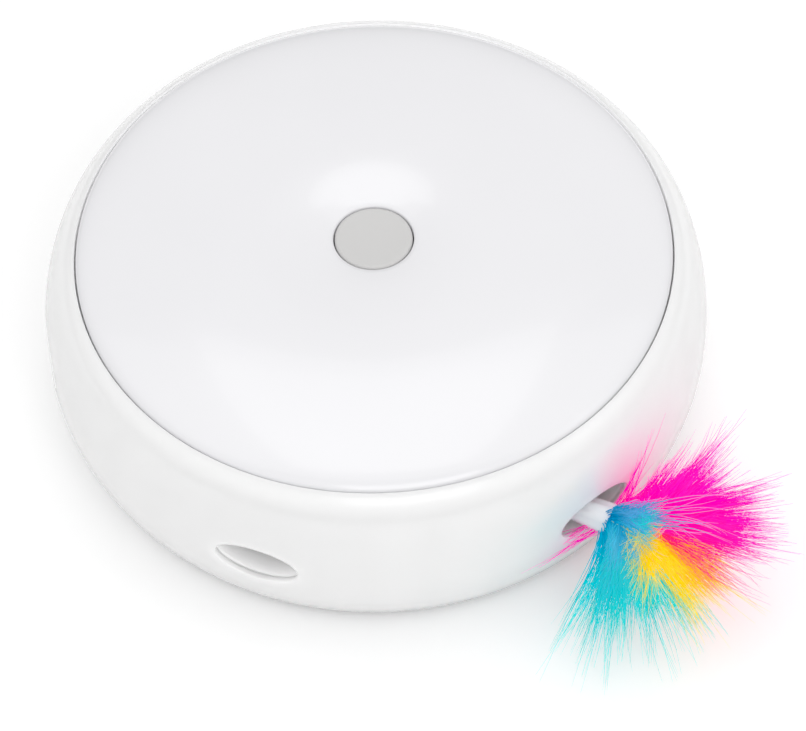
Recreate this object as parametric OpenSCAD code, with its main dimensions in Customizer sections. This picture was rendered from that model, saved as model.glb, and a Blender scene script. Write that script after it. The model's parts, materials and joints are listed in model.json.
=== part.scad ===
// Automatic cat feather toy: a round housing with oval ports, and inside it a turntable
// whose rack-driven carriage pushes a feather wand out of one of the ports.
// Millimetres. The origin is the centre of the foot ring's underside, +Z is up and +X
// is the axis of the port in which the wand stands.

/* [Housing] */
// Widest diameter of the housing
body_d = 220; // [216:1:226]
// Height of the seam between housing and lid
seam_h = 65.5; // [65:0.1:66.5]
// Height of the widest part of the wall
belly_h = 31; // [30:0.5:32]
// Wall thickness of the covers
wall = 2.2; // [1.8:0.1:2.4]
// Width of the rolled shoulder between the widest part and the seam
shoulder_w = 14.3; // [13.5:0.1:15]
// Height that the shoulder's curve would still rise past the seam
shoulder_rise = 0.3; // [0.2:0.05:0.5]
// Radius of the curve under the widest part
lower_curve_r = 50; // [48:1:56]
// Width of the ledge that carries the lid
ledge_w = 5; // [4:0.5:6]
// Thickness of that ledge
ledge_t = 2; // [1.6:0.1:2.4]

/* [Ports] */
// Number of ports round the housing
port_count = 6; // [6:1:6]
// Width of a port
port_w = 28; // [26:0.5:30]
// Height of a port
port_h = 17; // [16:0.5:18]
// Height of the ports' centres
port_z = 34; // [33:0.5:35]
// Radius of the rounded port mouth
port_round = 3.5; // [2.5:0.5:4]
// Depth of the rounding behind the widest part of the wall
port_depth = 3.2; // [3:0.1:3.4]

/* [Port drum] */
// Wall of the drum behind the ports
drum_t = 1.6; // [1.2:0.1:2]
// Room between the drum and the housing wall at the port height
drum_inset = 8.6; // [8.2:0.1:9]
// Height of the drum's upper edge
drum_top = 52; // [48:1:54]
// Wall of a port tunnel
tunnel_t = 1.5; // [1.2:0.1:1.8]
// Widening of a tunnel on each side, per millimetre towards the inside
tunnel_flare = 0.5; // [0.45:0.05:0.55]
// Gap between a tunnel and the housing wall
tunnel_gap = 0.4; // [0.3:0.1:0.6]

/* [Lid] */
// Rise of the lid's crest above the seam
crest_rise = 7; // [6:0.5:8.5]
// Radius at which the crest runs round the lid
crest_r = 39; // [36:1:42]
// Radius of the dimple's curve
dimple_curve_r = 104; // [98:1:112]
// Open gap of the seam
seam_gap = 0.45; // [0.3:0.05:0.6]
// Height of the lid's skirt below its rolled edge
skirt_h = 3.6; // [3.2:0.1:4]
// Number of clips that hold the lid under the ledge
clip_count = 6; // [3:3:6]
// Width of a clip
clip_w = 12; // [8:1:14]
// Thickness of a clip
clip_t = 1.4; // [1.2:0.1:1.6]

/* [Button] */
// Diameter of the button
button_d = 25.4; // [24:0.2:27]
// Gap ring between button and lid
button_gap = 0.4; // [0.3:0.05:0.6]
// Depth of the hollow in the button's top
button_dish = 0.5; // [0.3:0.1:0.8]
// Travel of the button
button_travel = 0.8; // [0.5:0.1:0.9]
// Width of the flange that keeps the button in
button_flange = 1.9; // [1.6:0.1:2.2]
// Wall of the well round the button
well_t = 2; // [1.6:0.1:2.4]
// Mean radius of the button's return spring
spring_r = 7.5; // [7.2:0.1:8]
// Wire diameter of that spring
spring_wire = 0.8; // [0.6:0.1:1]
// Turns of that spring
spring_turns = 4; // [3:1:5]

/* [Circuit board] */
// Diameter of the circuit board
board_d = 52; // [50:1:56]
// Thickness of the circuit board
board_t = 1.6; // [1.2:0.1:2]
// Depth of the board's upper face below the seam
board_drop = 6.5; // [6.1:0.1:6.7]
// Side of the square switch
switch_w = 8; // [7:0.5:8.5]
// Height of the switch body
switch_h = 3; // [2.6:0.1:3.1]
// Diameter of the switch plunger
plunger_d = 3.8; // [3:0.2:4]

/* [Base] */
// Height of the base's underside above the floor
base_z = 2; // [1.6:0.1:2.4]
// Thickness of the base plate
base_t = 2.4; // [2.2:0.1:2.8]
// Width of the rubber foot ring
foot_w = 4; // [3:0.5:5]
// Depth of its groove in the base
foot_seat = 0.6; // [0.4:0.1:0.8]
// Distance of the case screws from the drum
screw_inset = 9.6; // [9.1:0.1:10.6]
// Diameter of the case screws
screw_d = 2.5; // [2:0.1:3]
// Diameter of the screw posts
screw_post_d = 7.6; // [7:0.1:8]
// Height of the screw posts' upper end
screw_post_top = 17; // [15:0.5:18]

/* [Spindle and turntable] */
// Diameter of the hollow spindle
spindle_d = 12; // [11:0.5:13]
// Bore of the spindle
spindle_bore = 7.2; // [6.8:0.2:8]
// Room between the spindle and the circuit board
spindle_room = 3.4; // [2.4:0.1:7]
// Height of the spindle's boss in the base
boss_top = 16; // [14:0.5:16.5]
// Running clearance on every turning or sliding fit
run = 0.05; // [0.03:0.01:0.08]
// Height of the turntable's underside
table_z = 22; // [21.9:0.1:22.4]
// Thickness of the turntable
table_t = 2.5; // [2:0.1:3]
// Room between the turntable and the drum
table_gap = 3.6; // [2.6:0.1:5.6]

/* [Turning drive] */
// Tooth module of the turning drive
turn_m = 1; // [0.95:0.05:1]
// Teeth of the gear under the turntable
turret_teeth = 60; // [60:2:64]
// Teeth of the turning pinion
turn_teeth = 12; // [12:1:13]
// Diameter of the gear motors
motor_d = 20; // [18:0.5:20]
// Height of the turning motor
turn_motor_h = 12.8; // [12:0.2:13.4]
// Diameter of the motor shafts and the reach axle
shaft_d = 3; // [2.5:0.1:3]
// Play between meshing teeth
tooth_play = 0.12; // [0.1:0.01:0.16]

/* [Carriage and wand] */
// Distance of the wand's line from the centre
wand_offset = 45.5; // [45:0.5:46]
// Half width of the slide track
track_w = 10; // [9.8:0.1:10.4]
// Room between the carriage's front end and the track's
carriage_room = 7; // [5:0.5:9]
// Rear end of the carriage
carriage_rear = 10; // [9:0.5:10.5]
// Outer diameter of the wand socket
socket_d = 13.2; // [12.5:0.1:13.4]
// Depth of the wand in its socket
socket_l = 16; // [14:0.5:17]
// Distance that the wand stands out past the widest part of the wall
wand_out = 5.6; // [5:0.1:6.4]
// Diameter of the wand behind its flare
wand_d = 8.8; // [8.4:0.1:9]
// Diameter of the wand at its mouth
wand_mouth_d = 10.7; // [10.2:0.1:11]
// Wall of the wand at its mouth
wand_wall = 0.9; // [0.8:0.1:1.1]
// Flutes round the wand
flute_count = 8; // [6:1:10]
// Depth of a flute
flute_depth = 0.35; // [0.2:0.05:0.4]

/* [Reach drive] */
// Tooth module of the rack
rack_m = 1; // [0.95:0.05:1]
// Teeth of the gear that drives the rack
rack_teeth = 16; // [15:1:16]
// Tooth module of the reach wheel and its pinion
wheel_m = 0.8; // [0.75:0.05:0.8]
// Teeth of the reach wheel
wheel_teeth = 38; // [37:1:39]
// Teeth of the reach pinion
reach_teeth = 12; // [12:1:13]
// Place of the reach axle along the track
axle_x = -3; // [-3.5:0.5:-2.5]
// Direction from the reach axle to the reach motor
reach_angle = 150; // [146:1:152]
// Height of the reach motor
reach_motor_h = 15.5; // [15:0.5:16]

/* [Batteries] */
// Diameter of a cell
cell_d = 14.2; // [14:0.1:14.3]
// Length of a cell without its nub
cell_l = 49.2; // [49:0.1:49.4]
// Room between two cells
cell_gap = 0.4; // [0.3:0.1:0.6]
// Length of the battery bay
bay_l = 57; // [56.5:0.5:58]
// Distance of the bay's middle from the widest part of the wall
bay_inset = 54.5; // [54:0.5:55]
// Wall of the bay
bay_t = 1.6; // [1.4:0.1:1.8]
// Thickness of the battery door
door_t = 1.6; // [1.4:0.1:1.6]
// Room round the battery door
door_gap = 0.4; // [0.3:0.05:0.5]

/* [Feathers] */
// Reach of the magenta plume from the wand's mouth
magenta_l = 54; // [50:1:56]
// Reach of the blue plume from the wand's mouth
blue_l = 44; // [40:1:46]
// Reach of the yellow plume from the wand's mouth
yellow_l = 50; // [46:1:52]
// Diameter of a quill
quill_d = 1.3; // [1.1:0.1:1.4]

/* [Hidden] */
$fn = 48;
far = 300;
eps = 0.01;
press = 0.02;

body_r = body_d / 2;
floor_z = base_z + base_t;
rim_z = base_z + 2;
shoulder_x = body_r - shoulder_w;
shoulder_h = seam_h - belly_h + shoulder_rise;
seam_r = round(100 * (shoulder_x + shoulder_w
    * sqrt(1 - pow((seam_h - belly_h) / shoulder_h, 2)))) / 100;
lower_x = body_r - lower_curve_r;
base_r = lower_x + sqrt(pow(lower_curve_r, 2) - pow(belly_h - rim_z, 2));
rim_r = base_r - 2.3;
drum_r = body_r - wall - drum_inset;
drum_in = drum_r - drum_t;
foot_r = drum_in - 1.6;
port_a = port_w / 2;
port_cut = 20;
port_step = 360 / port_count;
between = port_step / 2;
screw_r = drum_in - screw_inset;
screw_post_r = screw_post_d / 2;
screw_head_t = 1.2;
post_web = 2;
web_lift = 5.2;
web_room = 0.6;

crest_h = seam_h + crest_rise;
lid_r = seam_r - seam_gap;
lid_edge = seam_h - 0.9;
ledge_top = lid_edge - skirt_h;
ledge_in = seam_r - ledge_w;
clip_out = ledge_in - 0.3;
clip_in = clip_out - clip_t;
clip_drop = 2.4;
clip_root = 1.6;
clip_nose = 1.5;

button_r = button_d / 2;
well_r = button_r + button_gap;
dimple_z = crest_h - dimple_curve_r;
button_top = dimple_z + sqrt(pow(dimple_curve_r, 2) - pow(crest_r - well_r, 2));
button_t = 2;
button_edge = 0.6;
button_skirt = 1.8;
button_stem_r = 2.4;
dish_r = button_r - 1.2;
dish_curve = (pow(dish_r, 2) + pow(button_dish, 2)) / (2 * button_dish);
board_top = seam_h - board_drop;
switch_top = board_top + switch_h + button_travel + 0.15;
plunger_l = 2;
flange_z = switch_top - 1;
flange_t = 1.4;
well_z = flange_z + flange_t + 0.2;
board_r = board_d / 2;
board_screw_r = board_r - 4;
board_post_r = 2.8;
board_screw_d = 1.8;
capacitor_l = 6;

spindle_r = spindle_d / 2;
spindle_top = board_top - board_t - spindle_room;
hub_r = spindle_r + 4;
washer_t = 1;
hub_z = boss_top + washer_t + 0.05;
table_r = drum_in - table_gap;
table_top = table_z + table_t;
table_lip = 2;
table_lip_t = 1.6;
table_hole_r = 8;
axle_boss_r = 4;
axle_z = table_z + 0.5;
hub_top = table_top + 5.5;
ring_z = hub_top + 0.2;
ring_t = 1;
turret_gear_z = table_z - 3;
turn_centre = turn_m * (turret_teeth + turn_teeth) / 2;
tooth_lean = 20;
tooth_head = 0.95;
tooth_foot = 1.25;
motor_r = motor_d / 2;
motor_neck_r = 4;
motor_neck = 1.2;
motor_cup = 5;
shaft_r = shaft_d / 2;
shaft_in = 0.05;
slip_in = turn_centre + turn_m * (turn_teeth / 2 + 1) + 1;
slip_w = 14;
slip_r = slip_in + slip_w / 2;
slip_t = 1.2;
slip_step = 4;
slip_track_w = 2.4;
track_cu = 0.2;
brush_top = 17;
brush_w = 1.6;

cross_out = 2;
wand_yaw = round(asin(wand_offset / (body_r + cross_out)));
wand_mouth = round(10 * (sqrt(pow(body_r, 2) - pow(wand_offset, 2)) + wand_out)) / 10;
track_l = round(10 * (sqrt(pow(table_r, 2) - pow(wand_offset + track_w, 2)) - 0.9)) / 10;
carriage_front = track_l - carriage_room;
reach = track_l - carriage_rear - 1;
stop_gap = 0.3;
stop_h = 1.2;
track_y = -wand_offset;
track_t = 1.5;
track_floor = table_top + track_t;
flange_w = track_w - 2;
keeper_z = track_floor + 2.4;
keeper_t = 1.6;
keeper_in = 6;
rack_z = keeper_z + keeper_t + 1;
rack_h = 5;
wand_r = wand_d / 2;
socket_r = socket_d / 2;
socket_front = carriage_front + 4;
socket_rear = socket_front - socket_l;
rib_w = keeper_in - 0.4;
pitch_y = track_y + 8.5;
flare_l = 18;
flare_z = wand_mouth - flare_l;
flute_lean = atan((wand_mouth_d / 2 - wand_r) / flare_l);
flute_w = 0.8;
collar_t = 2;
wand_bore_r = wand_r - 1.2;
plug_l = 6;
quill_r = 1.4;
plume_steps = 9;
axle_y = pitch_y + rack_m * rack_teeth / 2;
wheel_z = port_z + socket_r + 1.4;
wheel_t = 3;
reach_centre = wheel_m * (wheel_teeth + reach_teeth) / 2;
reach_motor_at = [axle_x + reach_centre * cos(reach_angle),
                  axle_y + reach_centre * sin(reach_angle)];

bay_x = body_r - bay_inset;
cell_step = cell_d + cell_gap;
bay_w = 3 * cell_d + 3.5 * cell_gap;
cell_z = floor_z + cell_d / 2;
bay_top = floor_z + cell_d + 1.2;
nub_l = 1;
nub_r = 2.7;
plate_t = 0.4;
plate_w = 0.77 * cell_d;
plate_h = 0.7 * cell_d;
door_lip = 1;
door_pin_r = 0.6;
door_pin_l = 1.6;
door_roll_r = 0.8;
door_seat = base_z + door_t + 0.15;
door_pin_z = base_z + 0.85;
door_pin_y = -bay_l / 2 - 2.1;
door_end = bay_l / 2 + 2.6;
door_tab = 5;
door_tab_l = 3.6;
door_screw_y = bay_l / 2 + 5.5;
door_screw_head = 0.8;
grip_w = 12;
grip_step = 3;
slot_w = 0.3;
slot_l = 1.6;

// Lead from the circuit board down the hollow spindle to the battery bay
lead_r = 1.8;
lead_slot = lead_r + 0.4;
lead_slot_top = 11.6;
lead_route = [
    [0, 0, board_top - board_t], [0, 0, 50], [0, 0, 44], [0, 0, 38], [0, 0, 32],
    [0, 0, 26], [0, 0, 20], [0, 0, 15], [-0.8, 0, 11.6], [-2.8, 0, 8.8], [-6, 0, 7.1],
    [-10, 0, 6.6], [-16, 0, 6.6], [-22, 0, 6.6], [-28, 0, 6.6],
    [-bay_x + bay_w / 2 + bay_t, 0, 6.6]
];

// Colours as photographed
white = [0.95, 0.95, 0.96];
inner_grey = [0.78, 0.78, 0.8];
button_grey = [0.8, 0.8, 0.8];

// Places: the turntable's own frame, and the wand's line in it with its axis along X
module in_turret() rotate([0, 0, wand_yaw]) children();
module on_wand_line(x) in_turret() translate([x, track_y, port_z]) rotate([0, 90, 0]) children();
module round_ports(offset_angle = 0)
    for (k = [0 : port_count - 1]) rotate([0, 0, k * port_step + offset_angle]) children();
module tube(r_out, r_in, z0, z1) translate([0, 0, z0]) difference() {
    cylinder(r = r_out, h = z1 - z0);
    if (r_in > 0) translate([0, 0, -1]) cylinder(r = r_in, h = z1 - z0 + 2);
}
module block(x0, x1, y0, y1, z0, z1)
    translate([x0, y0, z0]) cube([x1 - x0, y1 - y0, z1 - z0]);

// Everything inside the housing's outline, drawn in by the distance g
module outline(g) {
    translate([shoulder_x, belly_h]) intersection() {
        scale([shoulder_w - g, shoulder_h - g]) circle(r = 1, $fn = 144);
        square([shoulder_w + 1, seam_h - belly_h]);
    }
    translate([0, belly_h]) square([shoulder_x, seam_h - belly_h]);
    translate([lower_x, belly_h]) intersection() {
        circle(r = lower_curve_r - g, $fn = 240);
        translate([0, rim_z - belly_h]) square([lower_curve_r, belly_h - rim_z]);
    }
    translate([0, rim_z]) square([lower_x, belly_h - rim_z]);
}

// Oval hole along +X whose mouth widens in a rounding of radius f that starts at x = 0
module port_cutter(f) rotate([90, 0, 90]) scale([1, port_h / port_w, 1])
    rotate_extrude($fn = 64) difference() {
        translate([0, -port_cut]) square([port_a + f, port_cut + f]);
        translate([port_a + f, 0]) circle(r = f);
        translate([port_a, -port_cut - 1]) square([2 * f, port_cut + 1]);
    }

// Oval tunnel along +X that narrows to a port's width at the housing wall
function tunnel_a(x) = port_a + tunnel_flare * (body_r - wall - x);
module tunnel(extra, x0) translate([x0, 0, port_z]) rotate([90, 0, 90]) scale([1, port_h / port_w, 1])
    cylinder(r1 = tunnel_a(x0) + extra, r2 = tunnel_a(body_r + 1) + extra, h = body_r + 1 - x0, $fn = 96);

// Involute gear outline with a tooth along +X
function inv(a) = tan(a) * 180 / PI - a;
function tooth_half(teeth, m, r) = let (rb = m * teeth / 2 * cos(tooth_lean))
    90 / teeth - tooth_play / 2 / (m * teeth / 2) * 180 / PI + inv(tooth_lean)
    - inv(r > rb ? acos(rb / r) : 0);
module gear_outline(teeth, m) {
    root = m * (teeth / 2 - tooth_foot);
    base = max(root + 0.1, m * teeth / 2 * cos(tooth_lean));
    mid = m * teeth / 2;
    tip = m * (teeth / 2 + tooth_head);
    radii = [root, base, mid, tip];
    polygon([for (k = [0 : teeth - 1]) each concat(
        [for (r = radii) let (a = 360 * k / teeth - tooth_half(teeth, m, r))
            r * [cos(a), sin(a)]],
        [for (i = [3 : -1 : 0]) let (r = radii[i], a = 360 * k / teeth + tooth_half(teeth, m, r))
            r * [cos(a), sin(a)]])]);
}
module gear(teeth, m, h, bore) difference() {
    linear_extrude(h) gear_outline(teeth, m);
    translate([0, 0, -1]) cylinder(r = bore, h = h + 2);
}

// Tube of radius r swept along points, with n sides
function unit(v) = v / norm(v);
function heading(p, i) = unit(p[min(i + 1, len(p) - 1)] - p[max(i - 1, 0)]);
module swept(p, radii, n, ref, axis = false) {
    m = len(p);
    rings = [for (i = [0 : m - 1])
        let (d = is_list(axis) ? axis : heading(p, i), u = unit(cross(ref, d)), v = cross(d, u))
        for (k = [0 : n - 1]) p[i] + radii[i][0] * cos(360 * k / n) * u
            + radii[i][1] * sin(360 * k / n) * v];
    polyhedron(rings, concat(
        [[for (k = [0 : n - 1]) k]],
        [for (i = [0 : m - 2]) for (k = [0 : n - 1]) each [
            [i * n + k, (i + 1) * n + (k + 1) % n, i * n + (k + 1) % n],
            [i * n + k, (i + 1) * n + k, (i + 1) * n + (k + 1) % n]]],
        [[for (k = [n - 1 : -1 : 0]) (m - 1) * n + k]]));
}
function helix(r, z0, z1, turns, steps, taper = 0) = [for (i = [0 : turns * steps])
    let (f = i / (turns * steps), q = r - taper * f)
    [q * cos(360 * turns * f), q * sin(360 * turns * f), z0 + (z1 - z0) * f]];
module coil(r, wire, z0, z1, turns, taper = 0) {
    p = helix(r, z0 + wire / 2, z1 - wire / 2, turns, 12, taper);
    swept(p, [for (q = p) [wire / 2, wire / 2]], 6, [0, 0, 1]);
}

// Housing
module screw_posts() round_ports(between) {
    translate([screw_r, 0, floor_z]) cylinder(r = screw_post_r, h = screw_post_top - floor_z);
    block(screw_r, body_r, -post_web / 2, post_web / 2, floor_z + web_lift, screw_post_top);
}
module housing_shell() color(white) difference() {
    union() {
        rotate_extrude($fn = 128) difference() {
            outline(0);
            intersection() { outline(wall); square([far, ledge_top - ledge_t]); }
            translate([-1, 0]) square([ledge_in + 1, far]);
        }
        intersection() { screw_posts(); rotate_extrude($fn = 128) outline(wall / 2); }
    }
    translate([0, 0, ledge_top]) cylinder(r = seam_r, h = far, $fn = 128);
    round_ports() translate([body_r - port_depth, 0, port_z]) port_cutter(port_round);
    round_ports(between) translate([screw_r, 0, 0]) cylinder(r = screw_d / 2 + run, h = screw_post_top - 2);
}

// Drum behind the housing wall, with one oval tunnel for each port
module port_drum() color(inner_grey) difference() {
    intersection() {
        union() {
            tube(drum_r, drum_in, floor_z, drum_top);
            round_ports() tunnel(tunnel_t, drum_in + 0.3);
        }
        rotate_extrude($fn = 128) outline(wall + tunnel_gap);
    }
    round_ports() tunnel(0, drum_in - 3);
    round_ports(between) block(screw_r, body_r, -post_web / 2 - web_room, post_web / 2 + web_room,
        0, screw_post_top + web_room);
}

// Lid: everything under its top surface, lowered by the distance d
module lid_outline(d) {
    translate([crest_r, lid_edge - d]) intersection() {
        scale([lid_r - crest_r, crest_h - lid_edge]) circle(r = 1, $fn = 240);
        square([lid_r, crest_h]);
    }
    intersection() {
        translate([crest_r, dimple_z - d]) circle(r = dimple_curve_r, $fn = 360);
        translate([0, lid_edge - d]) square([crest_r, far]);
    }
    translate([0, ledge_top - d]) square([lid_r, skirt_h]);
}
module lid_dome() color(white) difference() {
    union() {
        rotate_extrude($fn = 128) difference() {
            intersection() { lid_outline(0); translate([0, ledge_top]) square([far, far]); }
            intersection() { lid_outline(wall); square([lid_r - wall, far]); }
        }
        intersection() {
            union() {
                tube(well_r + well_t, well_r, well_z, crest_h);
                for (k = [0 : 2]) rotate([0, 0, k * 120]) translate([board_screw_r, 0, board_top])
                    cylinder(r = board_post_r, h = crest_h - board_top);
            }
            rotate_extrude($fn = 128) translate([0, wall / 2]) lid_outline(wall);
        }
        lid_clips();
    }
    translate([0, 0, board_top]) cylinder(r = well_r, h = far);
    for (k = [0 : 2]) rotate([0, 0, k * 120]) translate([board_screw_r, 0, 0])
        cylinder(r = board_screw_d / 2 + run, h = board_top + 6);
}
module lid_clips() for (k = [0 : clip_count - 1]) rotate([0, 0, k * 360 / clip_count + between]) {
    block(clip_in, clip_out, -clip_w / 2, clip_w / 2, ledge_top - ledge_t - clip_drop, ledge_top + clip_root);
    block(clip_in, lid_r - wall + 0.5, -clip_w / 2, clip_w / 2, ledge_top, ledge_top + clip_root);
    translate([clip_out, clip_w / 2, ledge_top - ledge_t - 0.2]) rotate([90, 0, 0])
        linear_extrude(clip_w) polygon([[-0.2, 0], [clip_nose, 0], [-0.2, 0.2 - clip_drop]]);
}

// Base
module base_tray() color(white) difference() {
    union() {
        rotate_extrude($fn = 128) {
            translate([0, base_z]) square([drum_in + 0.4, base_t]);
            translate([0, base_z]) square([rim_r, rim_z - base_z]);
            translate([rim_r, rim_z]) intersection() {
                circle(r = rim_z - base_z);
                translate([0, base_z - rim_z]) square(rim_z - base_z);
            }
        }
        tube(drum_in - 0.4, drum_in - 2, floor_z - eps, floor_z + web_lift - web_room);
        translate([0, 0, base_z]) cylinder(r = spindle_r + 5, h = boss_top - base_z);
        translate([0, turn_centre, floor_z - eps]) tube(motor_r + 1.8, motor_r, 0, motor_cup);
        bay_walls();
    }
    tube(foot_r + foot_w / 2, foot_r - foot_w / 2, 0, base_z + foot_seat);
    translate([0, 0, floor_z]) cylinder(r = spindle_r + press, h = far);
    block(-spindle_r - 6, 0, -lead_slot, lead_slot, floor_z, lead_slot_top);
    bay_hollow();
    round_ports(between) translate([screw_r, 0, base_z - 1]) {
        cylinder(r = screw_d / 2 + 0.2, h = far);
        cylinder(r = screw_d + 0.3, h = 1 + screw_head_t);
    }
}
module bay_walls() {
    translate([-bay_x, 0, 0]) block(-bay_w / 2 - bay_t, bay_w / 2 + bay_t,
        -bay_l / 2 - bay_t, bay_l / 2 + bay_t, floor_z - eps, bay_top);
    translate([-bay_x, door_screw_y, floor_z - eps]) cylinder(r = screw_post_r - 0.4, h = 7);
}
module bay_hollow() translate([-bay_x, 0, 0]) {
    block(-bay_w / 2, bay_w / 2, -bay_l / 2, bay_l / 2, base_z - 1, bay_top - 1);
    block(-bay_w / 2 - door_lip, bay_w / 2 + door_lip, door_pin_y - door_roll_r - door_gap,
          door_end + door_gap, base_z - 1, door_seat);
    block(-door_tab - door_gap, door_tab + door_gap, 0, door_screw_y + door_tab_l + door_gap,
          base_z - 1, door_seat);
    translate([-bay_w / 2 - door_pin_l - 1.4, door_pin_y, door_pin_z]) rotate([0, 90, 0])
        cylinder(r = door_pin_r + run, h = bay_w + 2 * (door_pin_l + 1.4));
    translate([0, door_screw_y, 0]) cylinder(r = screw_d / 2 + 0.5, h = floor_z + 6);
}
module foot_ring() color([0.3, 0.3, 0.32])
    tube(foot_r + foot_w / 2, foot_r - foot_w / 2, 0, base_z + foot_seat);
module cross_slot(z0, z1)
    for (a = [0, 90]) rotate([0, 0, a]) block(-slot_l, slot_l, -slot_w, slot_w, z0, z1);
module screw(head_z, l) {
    difference() {
        translate([0, 0, head_z - screw_head_t]) cylinder(r = screw_d, h = screw_head_t);
        cross_slot(head_z - 3, head_z - 0.5);
    }
    translate([0, 0, head_z - eps]) cylinder(r = screw_d / 2, h = l);
}
module case_screws() color("silver") round_ports(between)
    translate([screw_r, 0, 0]) screw(base_z + screw_head_t, 11);

module spindle() color("silver") difference() {
    translate([0, 0, floor_z]) cylinder(r = spindle_r, h = spindle_top - floor_z);
    translate([0, 0, floor_z - 1]) cylinder(r = spindle_bore / 2, h = far);
    block(-spindle_r - 1, 0, -lead_slot, lead_slot, floor_z - 1, lead_slot_top);
    tube(spindle_r + 1, spindle_r - 0.5, ring_z, ring_z + ring_t);
}
module thrust_washer() color([0.9, 0.9, 0.85])
    tube(hub_r + 0.5, spindle_r + 0.2, boss_top, boss_top + washer_t);
module turn_motor() color("silver") translate([0, turn_centre, 0]) {
    translate([0, 0, floor_z]) motor(motor_r - press, turn_motor_h);
}
module motor(r, h) {
    cylinder(r = r, h = h - motor_neck);
    translate([0, 0, h - motor_neck - eps]) difference() {
        cylinder(r = motor_neck_r, h = motor_neck);
        cylinder(r = shaft_r + run, h = motor_neck + 1);
    }
}
module turn_shaft() color("silver") translate([0, turn_centre, 0])
    tube(shaft_r, 0, floor_z + turn_motor_h - motor_neck + shaft_in, table_z - 0.3);
module turn_pinion() color("white") translate([0, turn_centre, turret_gear_z])
    rotate([0, 0, 270 + 180 / turn_teeth]) gear(turn_teeth, turn_m, 2.7, shaft_r);

// Battery door, its captive screw, the cells and their contacts
module battery_door() color(white) translate([-bay_x, 0, 0]) difference() {
    union() {
        block(-bay_w / 2 - door_lip + door_gap, bay_w / 2 + door_lip - door_gap, door_pin_y, door_end,
              base_z, base_z + door_t);
        block(-door_tab, door_tab, door_end - 1, door_screw_y + door_tab_l, base_z, base_z + door_t);
        translate([-bay_w / 2 - door_lip + door_gap, door_pin_y, door_pin_z]) rotate([0, 90, 0])
            cylinder(r = door_roll_r, h = bay_w + 2 * (door_lip - door_gap));
        translate([-bay_w / 2 - door_lip - door_pin_l, door_pin_y, door_pin_z]) rotate([0, 90, 0])
            cylinder(r = door_pin_r, h = bay_w + 2 * (door_lip + door_pin_l));
    }
    translate([0, door_screw_y, 0]) cylinder(r = screw_d / 2 + press, h = far);
    translate([0, door_screw_y, 0]) cylinder(r = screw_d + press, h = base_z + door_screw_head);
    for (i = [-2 : 2]) translate([0, i * grip_step - 1.5, 0])
        block(-grip_w, grip_w, -0.5, 0.5, 0, base_z + 0.5);
}
module door_screw() color("silver") translate([-bay_x, door_screw_y, 0]) difference() {
    union() {
        translate([0, 0, base_z]) cylinder(r = screw_d, h = door_screw_head);
        translate([0, 0, base_z]) cylinder(r = screw_d / 2, h = 7);
    }
    cross_slot(0, base_z + door_screw_head / 2);
}
module cell(i, turned) color([0.25, 0.55, 0.35]) translate([-bay_x + i * cell_step, 0, cell_z])
    rotate([turned ? 90 : -90, 0, 0]) {
        translate([0, 0, bay_l / 2 - plate_t - nub_l - cell_l]) cylinder(r = cell_d / 2, h = cell_l);
        translate([0, 0, bay_l / 2 - plate_t - nub_l - 1]) cylinder(r = nub_r, h = nub_l + 1);
    }
module cell_left() cell(-1, false);
module cell_middle() cell(0, true);
module cell_right() cell(1, false);
module battery_contacts() color("silver") translate([-bay_x, 0, 0]) for (i = [-1 : 1]) for (s = [-1, 1])
    translate([i * cell_step, s * (bay_l - plate_t) / 2, cell_z])
        cube([plate_w, plate_t, plate_h], center = true);
module battery_springs() color("silver") for (i = [-1 : 1])
    translate([-bay_x + i * cell_step, 0, cell_z]) rotate([i == 0 ? -90 : 90, 0, 0])
        coil(nub_r + 0.5, 0.7, nub_l + cell_l + plate_t - bay_l / 2, bay_l / 2 - plate_t, 3, -1.4);

// Brushes that feed the turntable
module brush_block() color([0.2, 0.2, 0.22]) translate([0, -slip_r, 0])
    block(-slip_step - 1, slip_step + 1, -slip_w / 2 - 1, slip_w / 2 + 1, floor_z, brush_top);
module brush_leaves() color("gold") translate([0, -slip_r, 0]) for (i = [-1 : 1])
    block(-slip_step, slip_step, i * slip_step - brush_w / 2, i * slip_step + brush_w / 2,
          brush_top, table_z - slip_t - track_cu - run);
module lead_bundle() color([0.25, 0.25, 0.28])
    swept(lead_route, [for (p = lead_route) [lead_r, lead_r]], 8, [0, 1, 0]);

// Circuit board and button
module switch_board() color([0.1, 0.45, 0.25]) difference() {
    translate([0, 0, board_top - board_t]) cylinder(r = board_r, h = board_t);
    for (k = [0 : 2]) rotate([0, 0, k * 120]) translate([board_screw_r, 0, 0])
        cylinder(r = board_screw_d / 2 + 0.2, h = far);
}
module on_board(x, y) translate([x * board_r, y * board_r, board_top]) children();
module chip(l, w, h) block(-l / 2, l / 2, -w / 2, w / 2, 0, h);
module board_parts() color([0.15, 0.15, 0.16]) {
    on_board(0.46, -0.42) chip(8, 6, 1.6);
    on_board(-0.52, 0.48) chip(5, 5, 1.2);
    for (i = [0 : 3]) on_board(-0.69 + 0.15 * i, -0.63) chip(2, 1.2, 0.8);
    on_board(0.38, 0.46) translate([0, 0, -board_t - capacitor_l]) cylinder(r = 3, h = capacitor_l);
}
module board_screws() color("silver") for (k = [0 : 2]) rotate([0, 0, k * 120])
    translate([board_screw_r, 0, board_top - board_t]) {
        translate([0, 0, -screw_head_t]) cylinder(r = board_screw_d + 0.2, h = screw_head_t);
        translate([0, 0, -eps]) cylinder(r = board_screw_d / 2, h = board_t + 5);
    }
module switch_body() color([0.15, 0.15, 0.16]) difference() {
    block(-switch_w / 2, switch_w / 2, -switch_w / 2, switch_w / 2, board_top, board_top + switch_h);
    translate([0, 0, switch_top - plunger_l - button_travel - 0.1])
        cylinder(r = plunger_d / 2 + run, h = far);
}
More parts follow.
